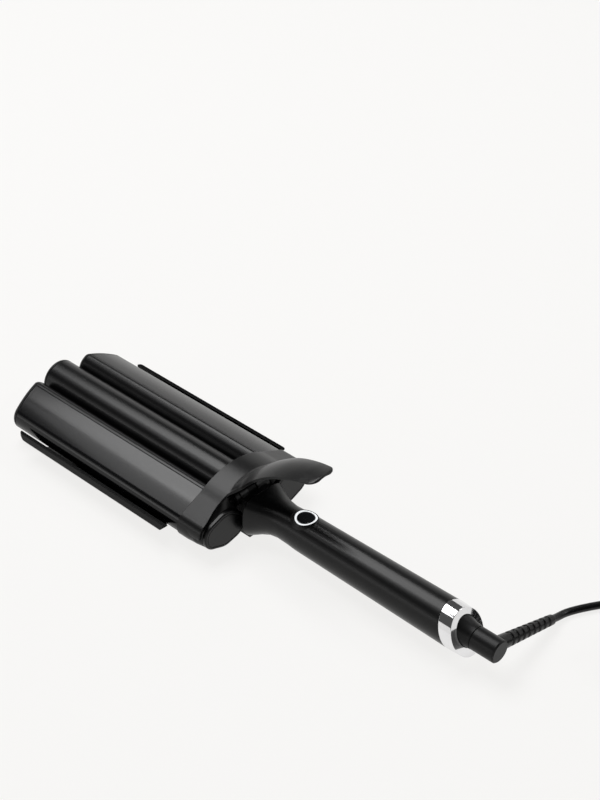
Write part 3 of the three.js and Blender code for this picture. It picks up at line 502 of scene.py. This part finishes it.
def barrel_mesh(side):
    """Tube with a bed for the cover; the two ends of a step share a facing."""
    first, last = cover_angles(COVER_SEAM)
    low, high = min(first, last), max(first, last)
    # From -90 to 270 degrees, so that the cover's facings don't wrap round.
    angles = sorted([a if a < math.pi * 1.5 else a - 2 * math.pi for a in ANGLES])
    outside = []
    for a, b in zip(angles, angles[1:] + [angles[0] + 2 * math.pi]):
        outside.append((a, -COVER_BED if low < a < high else 0))
        for edge in (low, high):
            if a <= edge < b:
                before, after = (0, -COVER_BED) if edge == low else (-COVER_BED, 0)
                outside += [(edge, before), (edge, after)]
    bore = []
    for i, (a, _) in enumerate(outside):
        repeated = i > 0 and a == outside[i - 1][0]
        bore.append(section_point(a + BORE_NUDGE if repeated else a, -BARREL_WALL))
    shell = [section_point(a, grow) for a, grow in outside]
    bm = bmesh.new()
    ends = ((shell, tube_front), (shell, BARREL_REAR), (bore, BARREL_REAR), (bore, tube_front))
    rings = [ring_verts(bm, side, outline, x_at) for outline, x_at in ends]
    join_rings(bm, rings, closed=True)
    return bm


def nose_mesh(side):
    """Nose with a rounded rim and a plug that sits in the tube's bore."""
    plug_inset = BARREL_WALL + SEAM
    plug_rear = BARREL_FRONT + NOSE_LENGTH + NOSE_PLUG
    stages = [(-plug_inset, plug_rear, 1), (-plug_inset, behind_nose(NOSE_LENGTH), 1)]
    for grow, depth in quarter_round(NOSE_INSET, NOSE_LENGTH, 10):
        stages.append((grow, behind_nose(depth), 1))
    stages += [(-NOSE_INSET, behind_nose(0), scale) for scale in (0.9, 0.6, 0.3)]
    bm = bmesh.new()
    rings = []
    for grow, x_at, scale in stages:
        outline = [section_point(a, grow) for a in ANGLES]
        middle = sum(outline, Vector((0, 0))) / len(outline)
        outline = [middle + (point - middle) * scale for point in outline]
        rings.append(ring_verts(bm, side, outline, x_at))
    join_rings(bm, rings)
    return bm


for side, word in SIDES:
    stand_for(word + "_barrel", barrel_mesh(side), barrel_black)
    stand_for(word + "_barrel_cover", cover_mesh(side), gloss_black, 0.00025)
    stand_for(word + "_barrel_tip", nose_mesh(side), matt_black, 0.00025)

# ---------------------------------------------------------------- middle barrel

MIDDLE_RADIUS, MIDDLE_Z, MIDDLE_WALL = 13.5, 5, 1.8
MIDDLE_NOSE, MIDDLE_FRONT, MIDDLE_REAR = -24.7, -22.0, 143.2
MIDDLE_ROUND = 1.5

bore = MIDDLE_RADIUS - MIDDLE_WALL
tube_profile = [
    (MIDDLE_FRONT, MIDDLE_RADIUS), (MIDDLE_REAR, MIDDLE_RADIUS), (MIDDLE_REAR, bore),
    (MIDDLE_FRONT, bore),
]
middle_tube = turned(tube_profile, MIDDLE_Z, closed=True)
stand_for("middle_barrel", middle_tube, barrel_black, 0.0002)
tip_profile = [
    (MIDDLE_FRONT + NOSE_PLUG, bore - SEAM), (MIDDLE_FRONT - SEAM, bore - SEAM),
    (MIDDLE_FRONT - SEAM, MIDDLE_RADIUS),
]
for grow, forward in quarter_round(MIDDLE_ROUND, MIDDLE_ROUND, 8):
    tip_profile.append((MIDDLE_NOSE + forward, MIDDLE_RADIUS + grow))
stand_for("middle_barrel_tip", turned(tip_profile, MIDDLE_Z), matt_black, 0.0002)

# ---------------------------------------------------------------- thumb lever

LEVER = {  # by x: height on the middle line, half-width, crown and bow of the section
    "x": (159.75, 162, 165.3, 170, 176, 183, 191, 200, 209, 217),
    "z": (23.2, 24.9, 27.8, 32.4, 37.6, 42.4, 46.8, 50.3, 52.8, 54.3),
    "half": (21, 18.7, 15, 14, 13.9, 13.1, 12.5, 12, 11.5, 10.9),
    "crown": (4.53, 5.2, 5.3, 4.7, 3.9, 3.2, 2.7, 2.3, 1.9, 1.5),
    "bow": (-1.2, 0, 0, 0, 0, 0, 0, 0, 0, 0),
}
LEVER_ROOT, LEVER_TIP, TIP_ROUND = LEVER["x"][0], 222, 5.0
LEVER_STEPS, TIP_STEPS = 80, 8
LEVER_THICKNESS, THINNING, THIN_FROM = 3, 1.5, 195
EDGE_SHARE = 0.4
SLOPE_PROBE, TILT_RUN = 0.05, 4


def lever_value(key, x):
    """Smooth curve through one row of the lever's table, and straight on past its last column."""
    xs, values = LEVER["x"], LEVER[key]
    last = len(xs) - 1
    if x >= xs[-1]:
        return values[-1] + (values[-1] - values[-2]) / (xs[-1] - xs[-2]) * (x - xs[-1])

    def slope(i):
        before, after = max(i - 1, 0), min(i + 1, last)
        return (values[after] - values[before]) / (xs[after] - xs[before])

    i = max(k for k in range(last) if xs[k] <= x)
    width = xs[i + 1] - xs[i]
    a, b, c, d = hermite((x - xs[i]) / width)
    return (
        values[i] * a + slope(i) * width * b + values[i + 1] * c + slope(i + 1) * width * d
    )


def lever_half(x):
    """Half-width of the lever, with the corners of its tip rounded."""
    half = lever_value("half", x)
    into = x - (LEVER_TIP - TIP_ROUND)
    if into > 0:
        half -= TIP_ROUND - math.sqrt(max(0, TIP_ROUND**2 - into**2))
    return half


def lever_stations():
    """Places along the lever behind its root, close together in its round tip."""
    round_from = LEVER_TIP - TIP_ROUND
    run = round_from - LEVER_ROOT
    stations = [LEVER_ROOT + run * i / LEVER_STEPS for i in range(1, LEVER_STEPS + 1)]
    for i in range(1, TIP_STEPS + 1):
        stations.append(round_from + TIP_ROUND * math.sin(math.pi / 2 * i / TIP_STEPS))
    return stations


def lever_points(x0, share):
    """Top and bottom of the blade at a station, at a share of its half-width."""
    rise = lever_value("z", x0 + SLOPE_PROBE) - lever_value("z", x0)
    slope = math.atan2(rise, SLOPE_PROBE) * min(1, (x0 - LEVER_ROOT) / TILT_RUN)
    thickness = LEVER_THICKNESS - THINNING * max(0, (x0 - THIN_FROM) / (LEVER_TIP - THIN_FROM))
    deep = thickness * (EDGE_SHARE + (1 - EDGE_SHARE) * math.sqrt(1 - share**6))
    x = x0 - lever_value("bow", x0) * share**2
    y = lever_half(x0) * share
    z = lever_value("z", x0) - lever_value("crown", x0) * share**2
    return (x, y, z), (x + deep * math.sin(slope), y, z - deep * math.cos(slope))


# ---------------------------------------------------------------- bridge over the barrels
# One skin runs from housing to housing over the arch, and the lever rises from its rear edge.

BRIDGE_FRONT, BRIDGE_TOP, ARCH_RADIUS, BRIDGE_STEPS = 144, 23.2, 51, 16
SKIN, SKIN_THINNING, SKIN_THIN_FROM, SKIN_THIN_RUN = 3.2, 1.2, 155, 8
ROOT_HALF, ROOT_COLUMNS = 21, 24
REAR_EDGE = (  # half-width, x
    (21, 160.95), (23.5, 160.7), (25.5, 160.5), (28.5, 160.4), (32.5, 160.8), (36.5, 161.7),
    (41, 162.8), (44.5, 163.1), (50, 163.1),
)
SHOULDER_YS = [23, 25, 27]
SLOPE_COLUMNS, EDGE_COLUMNS = 9, 30
EDGE_FACING, EDGE_SWEEP = math.radians(62), math.radians(60)
SKIN_PROUD, EDGE_TUCK = 0.25, 1.2
HOUSING_GROW, HOUSING_WAIST_GROW = 0.8, 0.3
HOUSING_FRONT_RUN, HOUSING_WAIST, HOUSING_REAR = 6, 158.5, 163.2
HOUSING_INNER_Y = 14.4
CAP_CIRCLES = [(21, -4, 10), (35.6, -2.4, 10), (27.5, -2.6, 12.7)]
TINY = 1e-6


def rear_edge(half):
    """Where the skin ends, at a distance from the middle line."""
    if half <= ROOT_HALF:
        return LEVER_ROOT + (REAR_EDGE[0][1] - LEVER_ROOT) * (half / ROOT_HALF) ** 2
    for (y0, x0), (y1, x1) in zip(REAR_EDGE, REAR_EDGE[1:]):
        if half <= y1:
            return x0 + (x1 - x0) * (half - y0) / (y1 - y0)
    return REAR_EDGE[-1][1]


def skin_outline():
    """Half of the arch's outer outline from its top outwards: (y, z, facing)."""
    points = []
    root_turns = [math.pi / 2 * i / ROOT_COLUMNS for i in range(ROOT_COLUMNS + 1)]
    for y in [ROOT_HALF * math.sin(turn) for turn in root_turns] + SHOULDER_YS:
        turn = math.asin(y / ARCH_RADIUS)
        points.append((y, BRIDGE_TOP - ARCH_RADIUS * (1 - math.cos(turn)), math.pi / 2 - turn))
    start, start_facing = Vector(points[-1][:2]), points[-1][2]
    edge = hull_point([LIP, OUTER_EDGE], EDGE_FACING, HOUSING_GROW + SKIN_PROUD)
    for k in range(1, SLOPE_COLUMNS):
        flat = start.lerp(edge, k / SLOPE_COLUMNS)
        facing = start_facing + (EDGE_FACING - start_facing) * k / SLOPE_COLUMNS
        points.append((flat.x, flat.y, facing))
    for i in range(EDGE_COLUMNS + 1):
        facing = EDGE_FACING - EDGE_SWEEP * i / EDGE_COLUMNS
        grow = HOUSING_GROW + SKIN_PROUD - EDGE_TUCK * max(0, i / EDGE_COLUMNS - 0.5)
        point = hull_point([OUTER_EDGE], facing, grow)
        points.append((point.x, point.y, facing))
    return points


def bridge_mesh():
    """The skin and the lever as one closed surface; only inner columns go on into the lever."""
    half = skin_outline()
    outline = [(-y, z, math.pi - f) for y, z, f in reversed(half[1:])] + half
    stations = lever_stations()
    bm = bmesh.new()
    upper, lower, inner = [], [], []
    for y, z, facing in outline:
        end = rear_edge(abs(y))
        inner.append(abs(y) <= ROOT_HALF + TINY)
        top_row, low_row = [], []
        for k in range(BRIDGE_STEPS + 1):
            x = BRIDGE_FRONT + (end - BRIDGE_FRONT) * k / BRIDGE_STEPS
            thick = SKIN - SKIN_THINNING * max(0, (x - SKIN_THIN_FROM) / SKIN_THIN_RUN)
            below = (y - thick * math.cos(facing), z - thick * math.sin(facing))
            if inner[-1]:
                below = (y, z - thick)
            top_row.append(bm.verts.new(place(x, y, z)))
            low_row.append(bm.verts.new(place(x, *below)))
        if inner[-1]:
            for x0 in stations:
                top, bottom = lever_points(x0, max(-1, min(1, y / ROOT_HALF)))
                top_row.append(bm.verts.new(place(*top)))
                low_row.append(bm.verts.new(place(*bottom)))
        upper.append(top_row)
        lower.append(low_row)
    for i in range(len(outline) - 1):
        shared = min(len(upper[i]), len(upper[i + 1]))
        for rows in (upper, lower):
            face_row(bm, rows[i][:shared], rows[i + 1][:shared], closed=False)
        if inner[i] != inner[i + 1]:
            j = i if inner[i] else i + 1
            face_row(bm, upper[j][BRIDGE_STEPS:], lower[j][BRIDGE_STEPS:], closed=False)
        for k in (0, shared - 1):
            bm.faces.new((upper[i][k], upper[i + 1][k], lower[i + 1][k], lower[i][k]))
    for j in (0, -1):
        face_row(bm, upper[j], lower[j], closed=False)
    return bm


def housing_mesh(side):
    """Round the barrel's rear end, and drawn in to the end cap's outline behind it."""
    full = [LIP, HEEL, OUTER_EDGE, FLANK]
    waist = [LIP, OUTER_EDGE, *CAP_CIRCLES]
    stages = [  # x, circles, growth, rings up to the next stage
        (BRIDGE_FRONT, full, HOUSING_GROW, 1),
        (BRIDGE_FRONT + HOUSING_FRONT_RUN, full, HOUSING_GROW, 8),
        (HOUSING_WAIST, waist, HOUSING_WAIST_GROW, 8),
        (HOUSING_REAR, CAP_CIRCLES, 0.0, 1),
    ]
    bm = bmesh.new()
    rings = []
    for (x0, c0, g0, parts), (x1, c1, g1, _) in zip(stages, stages[1:]):
        last = x1 == HOUSING_REAR
        for k in range(parts + last):
            t = k / parts
            eased = t if last else t * t * (3 - 2 * t)
            outline = []
            for angle in ANGLES:
                point = hull_point(c0, angle, g0).lerp(hull_point(c1, angle, g1), eased)
                outline.append(Vector((max(point.x, HOUSING_INNER_Y), point.y)))
            rings.append(ring_verts(bm, side, outline, x0 + (x1 - x0) * t))
    join_rings(bm, rings)
    bmesh.ops.remove_doubles(bm, verts=bm.verts, dist=TINY)
    return bm


bridge = stand_for("clamp_bridge", bridge_mesh(), satin_black, 0.0004, 50)
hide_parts("thumb_lever")
for side, word in SIDES:
    housing = housing_mesh(side)
    add_piece(word + "_housing", housing, "clamp", satin_black, 60)

# ---------------------------------------------------------------- button and its lit ring
# Profiles on the handle are rows of (radius, depth, round that the row follows). The tops follow
# flatter rounds than the handle's own.

BUTTON_X, HANDLE_Z, HANDLE_RADIUS = 207.6, 1.8, 12.39
PAD_ROUND, BUTTON_ROUND = 20, 40
PAD_RISE, BUTTON_RISE = 0.55, 0.3
RING_INSIDE, RING_OUTSIDE = 5.95, 7.05
BUTTON_RADIUS, BUTTON_DISH, BUTTON_SIDES = 5.75, 0.15, 96


def over_handle(y, radius):
    """Height of a round of this radius that touches the handle's top line."""
    return HANDLE_Z + HANDLE_RADIUS - radius + math.sqrt(radius**2 - y * y)


def on_handle(profile, rise, closed):
    """A profile turned round the button's middle, raised above the handle."""
    bm = bmesh.new()
    rings = []
    for radius, depth, bend in profile:
        ring = []
        for turn in circle(BUTTON_SIDES):
            x, y = BUTTON_X + radius * math.cos(turn), radius * math.sin(turn)
            ring.append(bm.verts.new(place(x, y, over_handle(y, bend) + rise - depth)))
        rings.append(ring)
    join_rings(bm, rings, closed)
    return bm


lit_profile = [
    (RING_INSIDE, 2.0), (RING_INSIDE, 0.2), (RING_INSIDE + 0.08, 0.06), (RING_INSIDE + 0.25, 0),
    (RING_OUTSIDE - 0.3, 0), (RING_OUTSIDE - 0.1, 0.08), (RING_OUTSIDE, 0.25), (RING_OUTSIDE, 2.0),
]
lit = on_handle([(r, d, PAD_ROUND) for r, d in lit_profile], PAD_RISE, closed=True)
stand_for("button_light_ring", lit, lit_white, 0, 50)

rim_profile = [
    (7.15, 2.4, PAD_ROUND), (7.15, -0.05, PAD_ROUND), (7.4, -0.1, PAD_ROUND),
    (7.7, 0.0, PAD_ROUND), (8.2, 0.35, 16), (9.0, 0.62, HANDLE_RADIUS),
    (9.6, 1.2, HANDLE_RADIUS), (9.0, 3.0, HANDLE_RADIUS),
]
rim = on_handle(rim_profile, PAD_RISE, closed=True)
add_piece("button_rim", rim, "base", satin_black, 50)

button_profile = [
    (BUTTON_RADIUS, 2.2), (BUTTON_RADIUS, 0.35), (BUTTON_RADIUS - 0.12, 0.15),
    (BUTTON_RADIUS - 0.4, 0.04),
]
for k in range(9, 0, -1):
    button_profile.append((BUTTON_RADIUS * k / 10, BUTTON_DISH * (1 - (k / 9) ** 2)))
button_profile.append((0.05, BUTTON_DISH))
button = on_handle([(r, d, BUTTON_ROUND) for r, d in button_profile], BUTTON_RISE, closed=False)
stand_for("power_button", button, button_black, 0, 50)

# ---------------------------------------------------------------- slanted end ring and its cone

RING_FRONT_X, RING_LENGTH, RING_FRONT_LEAN, RING_REAR_LEAN = 324.5, 9.8, 0.42, 0.47
RING_RADIUS, RING_TAPER, RING_BORE = 13.95, 0.45, 10.2
CONE_BASE, CONE_TIP, CONE_START, CONE_ROOT, CONE_STEPS = 9.7, 7.55, 329.7, 318, 24
CONE_FLARE, CONE_GAP = 1.6, 0.2
SWIVEL_FRONT = 340.6
CONE_END = SWIVEL_FRONT - SEAM
RING_SIDES, FOLLOWING_ROUNDS = 144, 4


def cone_radius(x):
    """The cone flares from the swivel to the ring's face."""
    share = min(1, max(0, (CONE_END - x) / (CONE_END - CONE_START)))
    return CONE_TIP + (CONE_BASE - CONE_TIP) * share**CONE_FLARE


def slanted_ring(profile):
    """Profile rows are (share of the way from the front plane to the rear one, radius, offset).

    A radius under zero follows the cone, so much outside it.
    """
    bm = bmesh.new()
    rings = []
    for share, radius, offset in profile:
        ring = []
        for turn in circle(RING_SIDES):
            here = abs(radius)
            for _ in range(FOLLOWING_ROUNDS):
                y, up = here * math.cos(turn), here * math.sin(turn)
                front = RING_FRONT_X - RING_FRONT_LEAN * up
                rear = RING_FRONT_X + RING_LENGTH - RING_REAR_LEAN * up
                x = front + (rear - front) * share + offset
                if radius < 0:
                    here = cone_radius(x) - radius
            ring.append(bm.verts.new(place(x, y, HANDLE_Z + up)))
        rings.append(ring)
    join_rings(bm, rings, closed=True)
    return bm


ring_rear = RING_RADIUS - RING_TAPER
band = [
    (0, RING_BORE, 0), (0, RING_RADIUS - 0.25, 0), (0, RING_RADIUS, 0.25), (1, ring_rear, -0.8),
    (1, ring_rear - 0.12, -0.55), (1, ring_rear - 0.4, -0.5), (1, -CONE_GAP - 0.2, 0),
    (1, -CONE_GAP, -0.2), (1, RING_BORE, -2.5),
]
stand_for("end_ring", slanted_ring(band), chrome, 0, 35)
cone = [(CONE_ROOT, CONE_BASE)]
for i in range(CONE_STEPS + 1):
    x = CONE_START + (CONE_END - CONE_START) * i / CONE_STEPS
    cone.append((x, cone_radius(x)))
stand_for("cord_socket", turned(cone, HANDLE_Z), matt_black, 0.0002)

# ---------------------------------------------------------------- oval end caps

CAP_FRONT, CAP_REAR, CAP_ROUND = 163.5, 166.2, 0.9
GROOVE = [(-1.7, 0), (-1.8, 0.35), (-2.2, 0.35), (-2.3, 0), (-5, 0)]  # growth, depth


def cap_mesh(side):
    """An oval plate with a rounded rim and a fine groove inside it."""
    stages = [(0, CAP_FRONT)]
    for grow, depth in quarter_round(CAP_ROUND, CAP_ROUND, 6) + GROOVE:
        stages.append((grow, CAP_REAR - depth))
    bm = bmesh.new()
    rings = []
    for grow, x in stages:
        outline = [hull_point(CAP_CIRCLES, angle, grow) for angle in ANGLES[::2]]
        rings.append(ring_verts(bm, side, outline, x))
    join_rings(bm, rings)
    return bm


for side, word in SIDES:
    stand_for(word + "_end_cap", cap_mesh(side), satin_black)

# ---------------------------------------------------------------- strain relief
# Lengths are in metres. The sleeve starts inside the swivel, at a share of the swivel's radius.
# A rib and the groove after it take four cells, and the plain ends are measured in cells too.

RELIEF_ROOT, RELIEF_END = place(352.3, 0, 3.4), place(354.4, 55.2, -12.9)
RELIEF_START_RADIUS, RELIEF_END_RADIUS, RELIEF_SIDES = 0.0047, 0.0032, 40
SWIVEL_RADIUS, SWIVEL_SHARE, GAP = 0.0074, 0.55, 0.0003
RIBS, RIB_CELLS, CELL_STEPS = 9, 4, 6
PLAIN_START, PLAIN_END = 5.2, 2.2
GROOVE_DEPTH, GROOVE_SLOPE = 0.0008, 0.09
LIP_ROUND = 0.0012

relief_way = (RELIEF_END - RELIEF_ROOT).normalized()


def relief_mesh():
    """A tapered sleeve with ribs between its plain ends, and a rounded lip round the cord."""
    start = SWIVEL_RADIUS * SWIVEL_SHARE + GAP
    length = (RELIEF_END - RELIEF_ROOT).length - start
    cells = (RIBS + 1) * RIB_CELLS
    steps = cells * CELL_STEPS
    points, radii = [], []
    for i in range(steps + 1):
        share = i / steps
        radius = RELIEF_START_RADIUS + (RELIEF_END_RADIUS - RELIEF_START_RADIUS) * share
        cell = i / CELL_STEPS
        phase = (cell % RIB_CELLS) / RIB_CELLS
        if PLAIN_START < cell < cells - PLAIN_END and phase > 0.5:
            radius -= GROOVE_DEPTH * min(1, min(phase - 0.5, 1 - phase) / GROOVE_SLOPE)
        to_end = (1 - share) * length
        if to_end < LIP_ROUND:
            radius -= LIP_ROUND - math.sqrt(max(0, LIP_ROUND**2 - (LIP_ROUND - to_end) ** 2))
        points.append(RELIEF_ROOT + relief_way * (start + length * share))
        radii.append(radius)
    return ringed_tube(points, radii, RELIEF_SIDES)


relief = add_piece("relief_sleeve", relief_mesh(), "swivel", cord_black, 50)
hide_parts("strain_relief")

# ---------------------------------------------------------------- mains cord
# It follows the route of the CAD solids: a lead to a tied coil, and a tail to the plug.

CORD, CORD_INSIDE = 0.0048, 0.001  # metres
TAIL_EARLY, EARLY_DROP = 0.35, 0.004  # share of the way, metres
TAIL_LATE, LATE_LIFT = 0.62, 0.0036
CORD_HALF, LIFT, TIE_THICKNESS, TIE_GAP = 2.4, 0.15, 0.8, 0.3
COIL_X, COIL_Y, COIL_RADIUS, COIL_PITCH, COIL_START = 432, 88, 28.8, 6, 120
LAYERS, LAYER_TURNS, CLIMB_TURNS, STEPS_PER_TURN = 4, 3.1875, 0.5, 24
PLUG_HALF, PLUG_X, PLUG_Y = 6.8, 71, -41
CORD_SIDES, SPLINE_PARTS = 16, 3

lying = FLOOR_Z + CORD_HALF + LIFT
coil_base = lying + TIE_THICKNESS + TIE_GAP
coil_turns = LAYERS * LAYER_TURNS + (LAYERS - 1) * CLIMB_TURNS


def coil_point(turn):
    """Point of the coil after so many turns; it winds inwards and outwards by turns."""
    period = LAYER_TURNS + CLIMB_TURNS
    layer = min(math.floor(turn / period), LAYERS - 1)
    within = turn - layer * period
    wound = min(within / LAYER_TURNS, 1)
    climb = max(0, within - LAYER_TURNS) / CLIMB_TURNS
    inward = wound if layer % 2 == 0 else 1 - wound
    radius = COIL_RADIUS + LAYER_TURNS * COIL_PITCH * (0.5 - inward)
    angle = math.radians(COIL_START) - 2 * math.pi * turn
    z = coil_base + COIL_PITCH * (layer + climb)
    return place(COIL_X + radius * math.cos(angle), COIL_Y + radius * math.sin(angle), z)


def level_end(point, after):
    """A level step of one cord's width beyond the coil's end."""
    away = point - after
    away.z = 0
    return point + away.normalized() * CORD


def beyond(end, before):
    """A straight step of one cord's width beyond an end."""
    return end + (end - before).normalized() * CORD


coil_steps = round(coil_turns * STEPS_PER_TURN)
coil = [coil_point(coil_turns * i / coil_steps) for i in range(coil_steps + 1)]
coil_start = level_end(coil[0], coil[1])
coil_end = level_end(coil[-1], coil[-2])
lead = [
    RELIEF_END - relief_way * CORD_INSIDE,
    RELIEF_END + relief_way * (GAP + CORD),
    place(355.6, 67.5, lying),
    place(360.2, 77, lying),
    place(370, 92, lying),
    place(383, 106, lying),
    place(397, 114.4, lying + 0.4),
    beyond(coil_start, coil[0]),
    coil_start,
]
plug_turn = math.radians(COIL_START - 90 - 360 * (coil_turns % 1))
plug_way = Vector((math.cos(plug_turn), math.sin(plug_turn), 0))
plug_end = place(COIL_X + PLUG_X, COIL_Y + PLUG_Y, FLOOR_Z + PLUG_HALF + LIFT)
run = plug_end - coil_end
early = coil_end + run * TAIL_EARLY
early.z = coil_end.z - EARLY_DROP
late = coil_end + run * TAIL_LATE
late.z = plug_end.z + LATE_LIFT
tail = [
    coil_end,
    beyond(coil_end, coil[-1]),
    early,
    late,
    plug_end - plug_way * 2 * CORD,
    plug_end - plug_way * CORD,
    plug_end,
]
route = smooth_line(lead, SPLINE_PARTS)[:-1] + [coil_start, *coil, coil_end]
route += smooth_line(tail, SPLINE_PARTS)[1:]
cord_mesh = ringed_tube(route, [CORD / 2] * len(route), CORD_SIDES)
mains = add_piece("mains_cord", cord_mesh, "base", cord_black)
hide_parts("cord_lead", "cord_coil", "cord_tail")

# ---------------------------------------------------------------- surface and light
# Lengths are in metres, angles in degrees.

SWEEP_RADIUS, SWEEP_BEND, SWEEP_HEIGHT, SWEEP_STEPS = 4.0, 0.8, 1.9, 8
FLOOR_RINGS, SWEEP_SIDES = (0.5, 2.0), 96
WORLD_STRENGTH = 0.08
LAMP_TARGET = Vector((0, 0, 0.02))


def white_surface():
    """Takes light like any pale floor, and close to white for the camera and in reflections."""
    material, tree, shader = new_material("pale_studio_sweep")
    shader.inputs["Base Color"].default_value = (0.9, 0.9, 0.9, 1)
    shader.inputs["Roughness"].default_value = 0.9
    shader.inputs["Specular IOR Level"].default_value = 0.1
    paths = tree.nodes.new("ShaderNodeLightPath")
    seen = tree.nodes.new("ShaderNodeBsdfDiffuse")
    seen.inputs["Color"].default_value = (0.12, 0.12, 0.12, 1)
    glow = tree.nodes.new("ShaderNodeEmission")
    glow.inputs["Color"].default_value = (1, 0.992, 0.978, 1)
    glow.inputs["Strength"].default_value = 0.83
    both = tree.nodes.new("ShaderNodeAddShader")
    mix = tree.nodes.new("ShaderNodeMixShader")
    either = paths.outputs["Is Camera Ray"]
    for ray in ("Is Glossy Ray", "Is Transmission Ray"):
        most = tree.nodes.new("ShaderNodeMath")
        most.operation = "MAXIMUM"
        tree.links.new(either, most.inputs[0])
        tree.links.new(paths.outputs[ray], most.inputs[1])
        either = most.outputs[0]
    tree.links.new(seen.outputs[0], both.inputs[0])
    tree.links.new(glow.outputs[0], both.inputs[1])
    tree.links.new(either, mix.inputs["Fac"])
    tree.links.new(shader.outputs[0], mix.inputs[1])
    tree.links.new(both.outputs[0], mix.inputs[2])
    tree.links.new(mix.outputs[0], tree.nodes["Material Output"].inputs["Surface"])
    return material


def sweep_mesh():
    """A round pale floor that bends up into a low wall all the way round."""
    flat = SWEEP_RADIUS - SWEEP_BEND
    profile = [(distance, 0) for distance in (*FLOOR_RINGS, flat)]
    for i in range(1, SWEEP_STEPS + 1):
        turn = math.pi / 2 * i / SWEEP_STEPS
        profile.append((flat + SWEEP_BEND * math.sin(turn), SWEEP_BEND * (1 - math.cos(turn))))
    profile.append((SWEEP_RADIUS, SWEEP_HEIGHT))
    bm = bmesh.new()
    rings = []
    for distance, z in profile:
        turns = circle(SWEEP_SIDES)
        ring = [(distance * math.cos(t), distance * math.sin(t), z) for t in turns]
        rings.append([bm.verts.new(point) for point in ring])
    bm.faces.new(rings[0])
    for a, b in zip(rings, rings[1:]):
        face_row(bm, a, b)
    return bm


def softbox(name, azimuth, elevation, distance, width, height, strength):
    """A rectangular lamp that faces the target; strength is its radiance."""
    light = bpy.data.lights.new(name, "AREA")
    light.shape = "RECTANGLE"
    light.size, light.size_y = width, height
    light.energy = strength * width * height * math.pi
    lamp = bpy.data.objects.new(name, light)
    turn, lift = math.radians(azimuth), math.radians(elevation)
    level = math.cos(lift)
    away = Vector((level * math.cos(turn), level * math.sin(turn), math.sin(lift)))
    lamp.location = LAMP_TARGET + away * distance
    lamp.rotation_euler = away.to_track_quat("Z", "Y").to_euler()
    lamp.visible_camera = False
    scene.collection.objects.link(lamp)


sweep = new_object("studio_sweep", sweep_mesh(), white_surface())

world = bpy.data.worlds.new("studio")
scene.world = world
world.use_nodes = True
room = world.node_tree.nodes["Background"]
room.inputs["Color"].default_value = (1, 1, 1, 1)
room.inputs["Strength"].default_value = WORLD_STRENGTH

softbox("main_softbox", 167, 62, 2.0, 1.3, 1.05, 7.0)
softbox("main_edge", 207, 57, 2.0, 0.62, 1.0, 2.6)
softbox("back_softbox", 85, 44, 2.2, 0.9, 0.9, 1.7)
softbox("low_strip", 238, 14, 2.2, 1.0, 0.35, 1.8)
softbox("cord_light", 47, 37, 2.0, 0.4, 0.4, 8.0)
